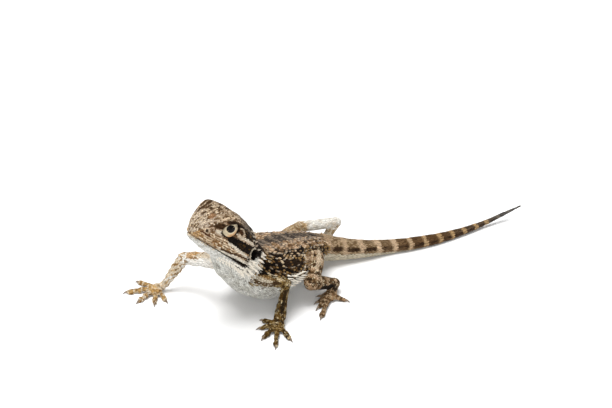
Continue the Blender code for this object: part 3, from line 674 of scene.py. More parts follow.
def cloud(points, size, seed):
    """Smooth noise from 0 to 1 with features about `size` across."""
    scaled = points / size
    low = np.floor(scaled)
    t = scaled - low
    t = t * t * (3 - 2 * t)
    total = np.zeros(len(points))
    for corner in range(8):
        bits = np.array([(corner >> k) & 1 for k in range(3)])
        total += np.prod(np.where(bits, t, 1 - t), axis=1) * lattice(low + bits, seed)
    return total


def noises(points, seed, *sizes):
    """Smooth noise about zero, one for each size."""
    return [cloud(points, size, seed + n) - 0.5 for n, size in enumerate(sizes)]


def track(back, height, corners):
    """Distance from a path drawn on the side of the head, and how far along it, from 0 to 1."""
    corners = np.array(corners)
    keys = lengths_along(corners)
    best = np.full(back.shape, 1e9)
    along = np.zeros(back.shape)
    for i, (a, b) in enumerate(zip(corners[:-1], corners[1:])):
        run = b - a
        t = np.clip(((back - a[0]) * run[0] + (height - a[1]) * run[1]) / np.dot(run, run), 0, 1)
        far = np.hypot(back - a[0] - t * run[0], height - a[1] - t * run[1])
        along = np.where(far < best, (keys[i] + t * (keys[i + 1] - keys[i])) / keys[-1], along)
        best = np.minimum(far, best)
    return best, along


def eye_rise(back, height):
    """Height over the middle of the eye, on a level that doesn't slope with the mouth."""
    return height - EYE_HEIGHT + MOUTH_SLOPE * (back - EYE_BACK)


def eye_reach(back, height):
    """Distance from the middle of the eye's opening, 1 at the edge of the lids."""
    return oval(back, eye_rise(back, height), EYE_BACK, 0.0, *EYE_OPENING)


def shape_head(points, normals):
    """Lids, ear cups, nostrils and the line of the mouth, pressed into the skin of the head."""
    back, left, height = head_coordinates(points)
    wide = np.abs(left)
    on_head = (back < 22.5) & (height > -6)

    # How far each point of the side moves out
    reach = eye_reach(back, height)
    from_axis = np.hypot(back - EYE_BACK, eye_rise(back, height))
    ball = EYE_SIDE + np.sqrt(np.maximum(EYE_RADIUS**2 - from_axis**2, 0.0))
    rim = 0.2 * bell(reach, 1.15, 0.12) - 0.22 * bell(reach, 1.48, 0.11) + 0.1 * bell(reach, 1.75, 0.13)
    lid = np.maximum(wide - 0.5, ball + 0.05) + rim
    share = ramp(reach, 2.1, 1.4)
    target = np.where(share > 0, wide * (1 - share) + lid * share, wide)
    inside = ramp(reach, 1.08, 0.82)
    target = target * (1 - inside) + np.minimum(target, ball - 0.7) * inside
    near = on_head & (wide > 2.0) & (reach < 2.2) & (height > 2.5)
    out = np.where(near, target - wide, 0.0)
    ear = oval(back, height, *EAR)
    edge = 0.2 * bell(ear, 1.15, 0.14) * ramp(back, EAR[0] + 2.2, EAR[0])
    out += np.where(wide > 3.5, edge - ramp(ear, 1.0, 0.45) * EAR_DEPTH, 0.0)
    nostril = oval(back, height, *NOSTRIL)
    near = on_head & (wide > 1.2) & (back < 4.5) & (height > 1.5)
    out += np.where(near, 0.16 * bell(nostril, 1.6, 0.4) - ramp(nostril, 1.1, 0.3) * 0.5, 0.0)

    # The mouth's groove and the fuller lips beside it
    lip = bell(height, -0.12, 0.17) * ramp(back, MOUTH_END + 0.5, MOUTH_END - 0.8)
    lip *= on_head & (back > -1.0)
    fuller = bell(height, 0.55, 0.3) + bell(height, -0.75, 0.3)
    fuller *= ramp(back, MOUTH_END, MOUTH_END - 3) * on_head
    moved = (np.sign(left) * out)[:, None] * LEFT
    return points + moved + (0.07 * fuller - 0.3 * lip)[:, None] * normals


def shape_skin(points, normals):
    """Loose folds of the throat, neck and flanks, and a soft unevenness all over."""
    back, left, height = head_coordinates(points)
    throat = ramp(height, 1.0, -3.0) * within(back, 6.0, 12.0, 26.0, 34.0)
    folds = np.sin(2 * math.pi * (height + 0.25 * back) / 1.9 + 3 * cloud(points, 5.0, 5))
    small, large = noises(points, 7, 1.6, 4.2)
    trunk = ramp(points[:, 1], 22.0, 6.0)
    lift = 0.1 * folds * throat * trunk + 0.14 * small + 0.22 * large * trunk
    lift *= np.where((back < 12.0) & (height > -4), 0.3, 1.0)
    return points + lift[:, None] * normals


def fields_under(points):
    """Number of the part, place along it and turn round it, for each point of the skin."""
    samples = []
    fields = []
    for n, (name, (places, rings, _)) in enumerate(PARTS.items()):
        pace = 2 if name == "body" else 1
        for place, ring in zip(places[::pace], rings[::pace]):
            samples += list(ring[::2])
            fields += [(n, place, j / len(ring)) for j in range(0, len(ring), 2)]
    tree = KDTree(len(samples))
    for i, sample in enumerate(samples):
        tree.insert(sample, i)
    tree.balance()
    return np.array(fields)[[tree.find(point)[1] for point in points]]


def mix(colour, other, amount):
    colour = np.asarray(colour, float)
    return colour + (np.asarray(other, float) - colour) * np.reshape(amount, (-1, 1))


class Coat:
    """The colour of every point, painted over in turn."""

    def __init__(self, shade, other, amount):
        self.colour = mix(shade, other, amount)

    def add(self, shade, amount):
        self.colour = mix(self.colour, shade, amount)


def ring_number(place):
    """Count of the tail's pale rings up to a place on the backbone, whole at the middle of a ring."""
    first, gap, change = TAIL_RINGS
    inside = np.maximum(gap**2 - 4 * change * (place - first), 0.01)
    return (gap - np.sqrt(inside)) / (2 * change)


def body_colour(points, place, turn, pick):
    """Trunk and tail: blotched back, speckled flank, pale belly, ringed tail."""
    angle = from_back(turn)
    fine, rough, broad = noises(points, 20, 0.55, 1.2, 3.2)
    # Pebbled back
    coat = Coat(GREY_BROWN, (92, 79, 66), 0.75 * ramp(fine, 0, 0.25))
    coat.add((168, 151, 133), 0.7 * ramp(pick, 0.68, 0.9))
    shifted = place + 2.0 * broad
    far = from_whole((shifted - 24.2) / 4.3) * 4.3
    dark = ramp(far + 1.6 * rough + 0.8 * fine, 1.8, 1.1)
    dark *= ramp(angle + 14 * rough + 8 * fine, 18, 11)
    coat.add(SLATE, dark * (0.3 + 0.65 * ramp(pick + 0.3 * fine, 0.3, 0.5)))
    # Flank: dark brown to black, browner towards the back and the hips
    warm = ramp(angle, 75, 30) + 0.6 * ramp(place, 24, 34)
    deep = mix((36, 24, 13), BLACK, ramp(broad + 0.25 * rough, -0.2, 0.05))
    deep = mix(deep, (84, 60, 36), np.clip(warm * (0.08 + 0.4 * ramp(rough, -0.08, 0.12)), 0, 0.6))
    coat.add(deep, ramp(angle + 16 * rough, 20, 30))
    # Tan patches in a row beside the backbone, each edged in dark below
    long = from_whole((shifted - 23.4) / 4.7) * 4.7
    across = angle - np.interp(place, [16, 24, 32, 40], [17, 17, 29, 42])
    patch = np.hypot(long / 1.9, across / 12.0) + 0.9 * rough + 0.35 * fine
    along = within(place, 13, 16, 42, 47)
    tan = mix((140, 112, 84), (188, 160, 130), ramp(pick, 0.6, 0.85))
    tan = mix(tan, (92, 66, 42), 0.85 * ramp(fine, 0.05, 0.18))
    coat.add(tan, ramp(patch, 1.05, 0.75) * along)
    under = ramp(np.abs(patch - 1.35), 0.35, 0.1) * ramp(across, 4, 12) * along
    coat.add(BLACK, under * 0.7)
    # Painted shadow in the crease over the hind leg, and black behind and over the arm
    thigh_shadow = np.abs(angle - np.interp(place, [28, 31, 38, 43], [41, 46, 57, 66]))
    thigh_shadow = ramp(thigh_shadow + 5 * fine, 6, 3) * within(place, 27, 29.5, 40, 43)
    coat.add(BLACK, thigh_shadow * 0.9)
    armpit = oval(place, angle, 17.4, 76, 4.6, 9.0) + 0.6 * rough
    coat.add(BLACK, ramp(armpit, 1.1, 0.7) * 0.85)
    hip = oval(place, angle, 31.5, 72, 3.6, 17.0) + 0.5 * rough
    pink = mix((150, 122, 94), (186, 158, 128), ramp(fine, -0.05, 0.15))
    coat.add(pink, ramp(hip, 1.15, 0.85) * 0.85)
    pale_line = np.abs(place - np.interp(angle, [50, 60, 82], [29.6, 28.7, 26.6]))
    pale_line = ramp(pale_line + 0.5 * fine, 0.75, 0.4) * ramp(np.abs(angle - 68), 18, 14)
    coat.add((212, 194, 168), pale_line * 0.9)
    # Pale underside that starts below the fringe
    edge = np.interp(place, *BELLY_EDGE)
    belly = ramp(angle + 6 * rough, edge - 3, edge + 3)
    white = mix((214, 213, 206), (182, 179, 168), 0.75 * ramp(rough, -0.15, 0.25))
    white = mix(white, (196, 186, 160), 0.7 * ramp(place, 38, 50))
    white = mix(white, MID_GREY, 0.35 * ramp(fine, 0.1, 0.25) * ramp(place, 26, 14))
    coat.add(white, belly)
    # Dark fold of the neck under the beard's corner, and the marks about it
    mark = oval(place, angle - 1.6 * (place - 12.2), 12.2, 118, 3.0, 4.5)
    coat.add(DARK, ramp(mark + 0.7 * fine, 1.15, 0.75) * 0.85)
    for *where, uneven, outer, inner, shade, strength in NECK_MARKS:
        mark = oval(place, angle, *where) + uneven * rough
        coat.add(shade, ramp(mark, outer, inner) * strength)
    # Tail: broad brown bands with a darker lower side, parted by pale rings
    slant = 0.3 * ramp(angle, 80, 10) + 0.7 * ramp(place, 72, 54)
    number = ring_number(place + 0.4 * rough + slant)
    ring = from_whole(number) * np.maximum(TAIL_RINGS[1] - 2 * TAIL_RINGS[2] * number, 2.0)
    brown = mix((160, 137, 107), (88, 64, 40), ramp(place, 54, 78))
    brown = mix(brown, (94, 72, 48), 0.7 * ramp(fine, -0.05, 0.15))
    brown = mix(brown, (84, 71, 59), 0.7 * ramp(place, 80, 94))
    low = ramp(np.abs(angle - np.interp(place, [44, 60, 80], [60, 68, 84])), 19, 6)
    brown = mix(brown, (46, 30, 16), low * (0.45 + 0.5 * ramp(rough, -0.1, 0.1)))
    pale = mix((190, 164, 134), (168, 138, 98), ramp(place, 66, 84))
    wide = np.interp(place, [44, 70, 104], [0.9, 0.75, 0.6])
    soft = np.interp(place, [46, 60, 70], [0.75, 0.35, 0.2])
    clear = np.interp(place, [44, 60], [0.65, 1.0])
    ring = ramp(ring + 0.5 * fine + soft * rough, wide + soft, wide - soft)
    tail = mix(brown, pale, ring * clear)
    tail = mix(tail, (84, 82, 80), ramp(place, 98, 105) * 0.85)
    coat.add(tail, ramp(place, 42, 47) * (1 - 0.8 * belly * ramp(place, 86, 74)))
    return coat.colour


def dashes(back, height, pitch, length, seed):
    """Repeatable values from 0 to 1 for short streaks that follow the line of the mouth."""
    row = np.floor(height / pitch)
    cells = np.stack([np.floor(back / length + 0.5 * (row % 2)), row, np.zeros_like(row)], axis=-1)
    return lattice(cells, seed)


def head_colour(points, pick):
    """Head: reticulated crown, dark stripe from eye to ear, streaked lips, white throat."""
    back, left, height = head_coordinates(points)
    wide = np.abs(left)
    brow = smooth_rows(HEAD[:, 0], HEAD[:, 4:5], back)[:, 0]
    fine, rough, broad = noises(points, 40, 0.45, 0.8, 2.2)

    # Side of the face
    side = Coat((170, 145, 118), (198, 176, 152), 0.7 * (broad + 0.5))
    side.add((110, 82, 56), 0.9 * ramp(fine, 0, 0.14))
    # Streaks of the lips and cheek, along the line of the mouth
    level = height - 0.55 - 0.035 * back
    line = from_whole(level / LIP_ROW) * 2
    bead = dashes(back, level + 0.5 * LIP_ROW, LIP_ROW, 0.8, 45)
    lip = mix((192, 167, 136), (230, 210, 180), ramp(bead, 0.55, 0.8))
    lip = mix(lip, (158, 116, 72), ramp(bead, 0.28, 0.16) * 0.75)
    gap = ramp(line + 0.35 * fine, 0.5, 0.8)
    lip = mix(lip, (100, 66, 36), gap * (0.6 + 0.35 * (pick > 0.5)))
    lips = ramp(height, 3.9, 3.3) * ramp(back, 18.5, 16.0) * ramp(height, 0.2, 0.4)
    side.add(lip, lips)
    ochre = ramp(oval(back, height, -0.3, 1.4, 1.0, 1.2), 1.9, 1.0) * (pick > 0.3)
    side.add((196, 156, 104), ochre * 0.7)
    # Dark patch before the eye and the pale one under it
    patch = oval(back, height - 0.28 * (back - 5.4), 5.2, 6.15, 2.3, 0.95) + 0.4 * rough
    dark = mix((74, 48, 22), (46, 28, 10), fine + 0.5)
    side.add(dark, ramp(patch, 1.1, 0.8) * 0.95)
    patch = oval(back, height - 0.1 * (back - 6.0), 6.2, 4.55, 1.9, 0.6) + 0.3 * fine
    side.add((224, 212, 190), ramp(patch, 1.15, 0.75) * 0.95)
    # Stripe from the eye to the ear between two white lines
    far, along = track(back, height, EYE_STRIPE)
    half = np.interp(along, [0, 0.3, 0.7, 1.0], [0.95, 1.1, 1.35, 1.3])
    stripe = ramp(far + 0.35 * rough, half + 0.15, half - 0.15)
    olive = ramp(oval(back, height, 15.4, 4.3, 3.0, 0.9), 1.2, 0.5) * ramp(fine, -0.1, 0.1)
    dark = mix((20, 12, 6), (92, 66, 26), olive * 0.75)
    far = track(back, height, CHEEK_LINE)[0]
    line = ramp(far + 0.2 * rough, 0.6, 0.32)
    side.add((226, 216, 198), line * 0.95)
    side.add(dark, stripe)
    far = track(back, height, TEMPLE_LINE)[0]
    line = ramp(far + 0.25 * rough, 0.5, 0.25)
    # Black temple with a ringed spot, over the upper white line
    temple = ramp(back, 10.9, 11.8) * ramp(height, 6.6, 7.0) * ramp(height, brow + 0.3, brow - 0.5)
    black = mix((24, 15, 8), (104, 78, 48), 0.9 * ramp(fine, 0.1, 0.25))
    side.add(black, temple * 0.95)
    side.add((226, 214, 194), line * 0.9)
    spot = oval(back, height, 13.0, 7.5, 1.15, 1.0)
    side.add((196, 176, 150), ramp(np.abs(spot - 0.95), 0.42, 0.22) * 0.9)
    side.add((70, 44, 24), ramp(spot, 0.75, 0.5))
    # White lip line, and the dark lines over and along the mouth
    side.add((224, 218, 204), ramp(height, 1.2, 0.85) * ramp(back, 5.0, 8.0) * 0.85)
    far = track(back, height, MOUTH_LINE)[0]
    side.add((58, 38, 22), ramp(far + 0.2 * fine, 0.32, 0.14) * 0.9)
    # About the ear: dark brown painted shade in the hollow behind the jaw, a white rim, and black painted
    # shade inside the ear
    # Painted shade in the hollow behind the jaw
    behind = ramp(oval(back, height, 22.2, 4.0, 2.0, 2.1), 1.1, 0.8)
    side.add((26, 16, 8), behind * 0.92)
    ear = oval(back, height, *EAR)
    rim = ramp(np.abs(ear - 1.2), 0.22, 0.1) * ramp(height - 0.9 * (back - EAR[0]), 2.6, 3.6)
    side.add((206, 194, 172), rim * 0.85)
    # Painted shade, black inside the sunk ear
    side.add(BLACK, ramp(ear, 1.06, 0.92))
    hollow = oval(back, height, EAR[0] + 1.0, EAR[1], 1.3 * EAR[2], EAR[3])
    side.add((16, 9, 5), ramp(hollow, 1.1, 0.95))

    # Crown: pale scales ringed in brown, dark bars, a slate rear and a faint orange spot
    crown = Coat((160, 138, 112), (180, 163, 144), ramp(back, 7.0, 2.0))
    crown.add((98, 74, 50), 0.85 * ramp(fine, 0, 0.12))
    crown.add((216, 198, 174), 0.8 * ramp(pick, 0.7, 0.9))
    spread = left * 6.0 / (4.0 + 0.25 * back) + 0.8 * broad
    line = from_whole(spread / CROWN_ROW) * 2
    bars = dashes(back, spread + 0.5 * CROWN_ROW, CROWN_ROW, 1.25, 46)
    bars = ramp(bars, 0.42, 0.55) * ramp(line + 0.5 * fine, 0.75, 0.45)
    bars *= ramp(left, 2.2, 1.2) * within(back, 2.4, 3.6, 13.5, 15.5)
    crown.add((62, 42, 23), bars * np.interp(back, [3, 6, 10], [0.75, 0.9, 1.0]))
    between = ramp(line, 0.35, 0.15) * (bars < 0.2) * ramp(left, 2.2, 1.2)
    crown.add((222, 202, 170), 0.7 * between)
    rear = ramp(back + 3.5 * broad + 2.0 * rough, 9.5, 16.0)
    grey = mix((92, 82, 72), (140, 126, 112), ramp(fine, 0, 0.2))
    crown.add(grey, rear * 0.85)
    spot = oval(back, left, 4.3, 1.5, 1.15, 0.7)
    crown.add((160, 116, 78), ramp(spot, 1.15, 0.6) * 0.65)
    crown.add((126, 82, 46), ramp(np.abs(spot - 1.05), 0.3, 0.1) * ramp(left, 1.6, 2.2) * 0.7)
    # Pale brow, and over the eye a dark line of painted shadow under the brow's edge
    edge = ramp(np.abs(height - brow + 0.2), 0.7, 0.3) * within(back, 3.5, 6.0, 11.5, 14.0)
    crown.add((212, 188, 158), edge * 0.75 * ramp(fine, 0.12, -0.05))
    # Painted shadow under the brow's edge, a dark line over the eye
    over = np.abs(height - (EYE_HEIGHT + EYE_OPENING[1] + 1.05 - 0.09 * (back - EYE_BACK) ** 2))
    over = ramp(over + 0.3 * fine, 0.75, 0.5) * ramp(np.abs(back - EYE_BACK), 2.9, 2.3)
    side.add((38, 22, 8), over * 0.96)
    on_top = ramp(height + 0.3 * rough, brow - 0.9, brow - 0.5)
    side.add(crown.colour, on_top)

    # Lower jaw and throat
    jaw = mix((220, 218, 212), (192, 190, 182), 0.9 * ramp(rough, -0.1, 0.2))
    grey = dashes(back, height, 0.7, 0.95, 47)
    jaw = mix(jaw, (138, 134, 124), 0.45 * ramp(0.6 * grey + 0.4 * pick, 0.66, 0.78))
    spotted = ramp(height, -2.6, -1.2) * ramp(back, 11.0, 14.0) * ramp(fine, 0, 0.12)
    jaw = mix(jaw, (52, 44, 36), 0.8 * spotted)
    jaw = mix(jaw, (200, 176, 140), 0.6 * ramp(height, -0.9, -0.4) * ramp(back, 9.0, 6.0) * (pick > 0.5))
    side.add(jaw, ramp(height, -0.05, -0.3))
    # Dark line along the mouth: painted shade in its groove under the upper lip, stronger towards the
    # corner
    mouth = np.abs(height + 0.12) - np.interp(back, [0, 9, 13, 18], [0.08, 0.1, 0.3, 0.38])
    mouth = ramp(mouth + 0.15 * fine, 0.14, 0.0) * within(back, 0.3, 1.5, 18.6, 19.8)
    side.add((34, 24, 16), mouth * np.interp(back, [0, 6, 12, 18], [0.15, 0.3, 0.9, 1.0]))
    # Nostril with a pale rim, a dark line below and painted shade inside it
    nostril = oval(back, height, *NOSTRIL)
    near = (wide > 1.0) & (back < 5) & (height > 1.5)
    side.add((206, 184, 158), near * ramp(np.abs(nostril - 1.9), 0.9, 0.5) * 0.85)
    under = oval(back, height, NOSTRIL[0], NOSTRIL[1] - 0.95, 1.6, 0.28)
    side.add((84, 52, 32), near * ramp(under, 1.2, 0.7) * 0.9)
    # Painted shade, dark inside the nostril's hollow
    side.add((40, 22, 12), near * ramp(nostril, 1.25, 0.85))
    # Dark rim round the lids, partly painted shade in the groove about them, and their pale edge, darker
    # at the top as painted shade under the brow
    reach = eye_reach(back, height)
    eye = (wide > 2.5) & (height > 3)
    rim_edge = LID_OUTER + 0.45 + 0.35 * ramp(EYE_BACK - back, 0.0, 1.2)
    side.add((34, 21, 10), eye * ramp(reach, rim_edge, rim_edge - 0.14) * 0.92)
    lid = mix((204, 182, 150), (226, 206, 172), ramp(height, EYE_HEIGHT + 0.5, EYE_HEIGHT - 0.8))
    lid = mix(lid, (178, 150, 112), 0.5 * ramp(fine, 0, 0.2))
    blend = eye * ramp(reach, LID_OUTER + 0.06, LID_OUTER - 0.06)
    side.add(lid, blend)
    return side.colour


def limb_colour(name, points, place, turn, pick):
    """Legs: soft brown and ochre blotches, ringed toes, paler on the right side."""
    fine, rough, broad = noises(points, 60, 0.5, 0.95, 2.4)
    pale_side = "right" in name
    kind = kind_of(name)
    front = name.startswith("front")
    toes = kind == "digit"
    if pale_side:
        coat = Coat((204, 190, 168), (222, 217, 208), ramp(broad, -0.1, 0.1))
        deep = mix((178, 144, 96), (126, 90, 46), ramp(fine, 0, 0.2))
    elif front:
        coat = Coat((116, 92, 50), (180, 160, 122), ramp(rough, -0.02, 0.18))
        deep = mix((76, 52, 18), (38, 24, 8), ramp(fine, -0.05, 0.2))
    else:
        coat = Coat((158, 130, 100), (200, 175, 146), ramp(rough, -0.05, 0.2))
        deep = mix((92, 66, 38), (44, 28, 12), ramp(fine, -0.05, 0.2))
    gap = 1.5 if toes else 2.9
    band = from_whole((place + 1.9 * broad + 0.7 * rough) / gap) * 2
    low, high = (0.25, 0.5) if toes else (0.4, 0.62)
    strength = 0.9
    if pale_side and not toes:
        band = 0.55 + 0.75 * broad + 0.35 * rough + 0.12 * ramp(place, 8, 4) * front
        low, high = 0.58, 0.78
        strength = 0.8
    if front and kind == "shin":
        band = from_whole(6 * turn + 0.35 * place + 1.5 * broad) * 2
    if name == "hind_right.upper":
        coat = Coat((186, 164, 132), (150, 122, 88), ramp(rough, 0, 0.25))
        strength = 0.5
    if name == "hind_right.shin":
        coat = Coat((230, 226, 217), (214, 206, 192), ramp(rough, 0, 0.25))
        strength = 0.6 * ramp(place, 3.0, 1.0)
    coat.add(deep, strength * ramp(band + 0.5 * fine, low, high))
    if not pale_side:
        coat.add((40, 26, 10), 0.75 * ramp(pick, 0.84, 0.92) * ramp(rough, -0.15, 0))
        coat.add((206, 194, 164), 0.75 * ramp(pick, 0.16, 0.1))
    if toes or kind == "palm":
        ochre = (168, 124, 56) if pale_side else (132, 100, 46) if front else (132, 102, 70)
        coat.add(ochre, 0.35 * ramp(broad, -0.15, 0.1))
    leg_marks(name, place, turn, coat, fine)
    return coat.colour


def leg_marks(name, place, turn, coat, fine):
    """Single marks on a leg: centre along and around, half sizes, colour, strength."""
    for at, around, long, wide, shade, strength in LEG_MARKS.get(name, ()):
        off = (turn - around + 0.5) % 1.0 - 0.5
        mark = oval(place, off, at, 0.0, long, wide) + 0.5 * fine
        coat.add(shade, strength * ramp(mark, 1.15, 0.8))


def linear(colour):
    """Screen colour from 0 to 255 as linear light."""
    screen = np.clip(colour / 255.0, 0, 1)
    return np.where(screen <= 0.04045, screen / 12.92, ((screen + 0.055) / 1.055) ** 2.4)


def marked(points, fields, pick):
    """The markings under each point, as linear colour."""
    colour = np.zeros((len(points), 3))
    for n, name in enumerate(PARTS):
        chosen = fields[:, 0] == n
        if not chosen.any():
            continue
        at = (points[chosen], *fields[chosen, 1:].T, pick[chosen])
        if name == "body":
            colour[chosen] = body_colour(*at)
        elif name == "head":
            colour[chosen] = head_colour(at[0], at[3])
        else:
            colour[chosen] = limb_colour(name, *at)
    return linear(colour)


def paint_points(mesh, colour):
    layer = mesh.color_attributes.new("Marking", "FLOAT_COLOR", "POINT")
    full = np.ones((len(colour), 4), np.float32)
    full[:, :3] = colour
    layer.data.foreach_set("color", full.ravel())
    mesh.color_attributes.active_color = layer


def build_mesh(name, points, triangles, colour, patches=None):
    mesh = bpy.data.meshes.new(name)
    mesh.vertices.add(len(points))
    mesh.vertices.foreach_set("co", np.asarray(points, np.float32).ravel())
    mesh.loops.add(triangles.size)
    mesh.loops.foreach_set("vertex_index", triangles.astype(np.int32).ravel())
    mesh.polygons.add(len(triangles))
    mesh.polygons.foreach_set("loop_start", np.arange(0, triangles.size, 3, dtype=np.int32))
    mesh.update(calc_edges=True)
    mesh.validate()
    paint_points(mesh, colour)
    if patches is not None:
        layer = mesh.uv_layers.new(name="OFBake")
        layer.data.foreach_set("uv", patches[triangles.ravel()].astype(np.float32).ravel())
    return placed(name, mesh)


def spine_form():
    """A cone of few sides that bows back, from a sunk root."""
    cosines, sines = circle(SPINE_SIDES)
    rings = [
        np.column_stack([radius * cosines, radius * sines, np.full(SPINE_SIDES, far)])
        for far, radius in SPINE_RINGS
    ]
    foot = np.arange(SPINE_SIDES)
    after = np.roll(foot, -1)
    top = 2 * SPINE_SIDES
    tip = np.full(SPINE_SIDES, 3 * SPINE_SIDES)
    caps = np.stack([foot + top, after + top, tip, after, foot, tip + 1], axis=-1).reshape(-1, 3)
    points = np.concatenate([*rings, [(0.0, 0.0, 1.0), (0.0, 0.0, -0.35)]])
    return points, np.concatenate([halves(quads(3, SPINE_SIDES)), caps])


def chart_of(name, place, turn):
    """Where a place on a part lies on the flat chart of the whole skin, from 0 to 1."""
    places, rings, corner = PARTS[name]
    if name == "body":
        girths = np.linalg.norm(rings[:, 1:] - rings[:, :-1], axis=2).sum(axis=1)
        v = 31.0 + (turn - 0.5) * np.interp(place, places, girths)
    else:
        v = turn * lengths_along(rings[len(rings) // 2])[-1]
    if "." in name:
        place = place - places[0]
    return np.column_stack([corner[0] + place, corner[1] + v]) / CHART_WIDTH


def rows_on(name, step, across):
    """Roots in staggered rows round one part: points, directions of the lie, places and turns."""
    places, rings, _ = PARTS[name]
    count = max(2, int(lengths_along(rings.mean(axis=1))[-1] / step))
    found = []
    for r in range(count + 1):
        where = r / count * (len(rings) - 1.001)
        i = int(where)
        f = where - i
        ring = rings[i] * (1 - f) + rings[i + 1] * f
        ahead = rings[min(i + 2, len(rings) - 1)] - rings[max(i - 1, 0)]
        closed = np.vstack([ring, ring[:1]])
        run = lengths_along(closed)
        number = max(5, int(run[-1] / across))
        at = np.arange(number) + (0.5 if r % 2 else 0.0) + SCATTER * rng.standard_normal(number)
        at = (at / number % 1.0) * run[-1]
        around = np.arange(len(closed))
        columns = np.column_stack([closed, np.vstack([ahead, ahead[:1]]), around / len(ring)])
        row = [np.interp(at, run, column) for column in columns.T]
        row.append(np.full(number, places[i] * (1 - f) + places[i + 1] * f))
        found.append(np.column_stack(row))
    found = np.concatenate(found)
    return found[:, :3], unit(found[:, 3:6]), found[:, 7], found[:, 6]


def settle_on(tree, points, reach):
    """Nearest skin points and normals, and which roots are near enough to the skin to be kept."""
    found = [tree.find_nearest(point) for point in points]
    spots = np.array([hit[0] for hit in found])
    normals = np.array([hit[1] for hit in found])
    return spots, normals, np.array([hit[3] for hit in found]) < reach


def bare(points):
    """Places without scales: the eye's opening, the ear, the nostrils and the line of the mouth."""
    back, left, height = head_coordinates(points)
    wide = np.abs(left)
    gone = (eye_reach(back, height) < LID_OUTER - 0.05) & (wide > 2.2) & (height > 3)
    gone |= (oval(back, height, *EAR) < 1.02) & (wide > 3.5)
    gone |= (oval(back, height, *NOSTRIL) < 1.35) & (wide > 1.0) & (back < 5)
    gone |= (np.abs(height + 0.12) < 0.2) & (back > -1) & (back < MOUTH_END)
    return gone | (points[:, 2] < 0.25)


def kind_of(name):
    return name.split(".")[-1].split("_")[0]


def scale_sizes(name, points, place, turn):
    """Length, width and height of each scale."""
    kind = kind_of(name)
    step, across = SCALE_SPACING[kind]
    length = np.full(len(points), step * 1.12)
    width = np.full(len(points), across * 0.98)
    tall = 0.34
    if kind == "body":
        tall = 0.42 - 0.27 * ramp(from_back(turn), 100, 118)
        length *= 1.0 + 0.12 * ramp(place, 44, 50)
    if kind == "head":
        height = head_coordinates(points)[2]
        tall = 0.3 - 0.12 * ramp(height, 4.5, 2.0) - 0.04 * ramp(height, 0.0, -1.0)
    vary = 1 + SIZE_SPREAD * rng.standard_normal(len(points))
    return length * vary, width * vary, tall * (length + width) / 2


def stud_colour(points, under, turn, pick):
    """Large scales are paler than the skin about them, less so where it is black."""
    angle = from_back(turn)
    rough = cloud(points, 1.0, 71)
    broad = cloud(points, 3.2, 22)
    pale = Coat((176, 147, 116), (132, 104, 66), ramp(angle, 28, 50))
    pale.add((92, 66, 35), ramp(rough, 0.56, 0.48))
    # Pale studs, partly painted highlights, with more of them on the upper back
    pale.add((208, 190, 160), 0.8 * ramp(pick, 0.85, 0.95))
    pale.add((206, 180, 150), 0.8 * ramp(pick, 0.66, 0.8) * ramp(angle, 55, 40))
    amount = 0.95 * ramp(rough + 0.3 * pick, 0.52, 0.6) - 0.2 * ramp(broad, 0.55, 0.7)
    return mix(under, linear(pale.colour), np.clip(amount, 0, 1))


def flat_on(directions, normals):
    return directions - normals * np.sum(directions * normals, axis=1)[:, None]


def stamped(form, spots, axes, sizes):
    """A copy of `form` on each spot, stretched along its axes."""
    points = spots[:, None]
    for k in range(3):
        points = points + form[None, :, k, None] * sizes[k][:, None, None] * axes[k][:, None]
    return points


def joined(name, form_faces, points, colour, patch):
    """All copies of a form as one mesh."""
    firsts = points.shape[1] * np.arange(len(points))[:, None, None]
    faces = (form_faces + firsts).reshape(-1, 3)
    return build_mesh(name, points.reshape(-1, 3), faces, colour.reshape(-1, 3), patch.reshape(-1, 2))


def make_scales(name, members, tree):
    """Keeled scales over the given parts, as one joined mesh; the large ones stud the trunk."""
    large = name == "scales_large"
    batches = []
    for member in members:
        spacing = LARGE_SPACING if large else SCALE_SPACING[kind_of(member)]
        points, lie, place, turn = rows_on(member, *spacing)
        spots, normals, keep = settle_on(tree, points, SCALE_REACH)
        keep &= ~bare(spots)
        back = head_coordinates(spots)[0]
        if large:
            angle = from_back(turn)
            keep &= (angle > LARGE_FROM[0]) & (angle < LARGE_FROM[1])
            keep &= (place > LARGE_ALONG[0]) & (place < LARGE_ALONG[1]) & (back > EAR[0])
        if member == "head":
            keep &= back < HEAD_END
        soles = (normals[:, 2] < -0.7) & (spots[:, 2] < 0.6)
        keep &= ~soles
        spots, normals, lie, place, turn = (a[keep] for a in (spots, normals, lie, place, turn))
        pick = rng.random(len(spots))
        fields = np.column_stack([0 * place + NUMBERS[member], place, turn])
        root_colour = marked(spots, fields, pick)
        if large:
            root_colour = stud_colour(spots, root_colour, turn, pick)
        root_colour = root_colour * (1 + TONE_SPREAD * rng.standard_normal((len(spots), 1)))
        lie = unit(flat_on(lie, normals))
        swing = SCATTER * rng.standard_normal((len(spots), 1))
        lie = unit(lie + swing * np.cross(normals, lie))
        sizes = scale_sizes(member, spots, place, turn)
        if large:
            sizes = [size * factor for size, factor in zip(sizes, LARGE_FACTORS)]
        # Painted light and shade of each scale, weaker on pale scales
        shading_share = 1 - 0.6 * ramp(root_colour.mean(axis=1), 0.3, 0.6)[:, None, None]
        tone = 1 + (SCALE_SHADING[:, None] - 1) * shading_share
        chart = chart_of(member, place, turn)
        batches.append((
            stamped(SCALE, spots, (lie, np.cross(normals, lie), normals), sizes),
            np.clip(root_colour[:, None] * tone, 0.0, 0.95),
            chart[:, None] + PATCH * SCALE[:, :2] / 1.26,
        ))
    return joined(name, SCALE_FACES, *(np.concatenate(part) for part in zip(*batches)))


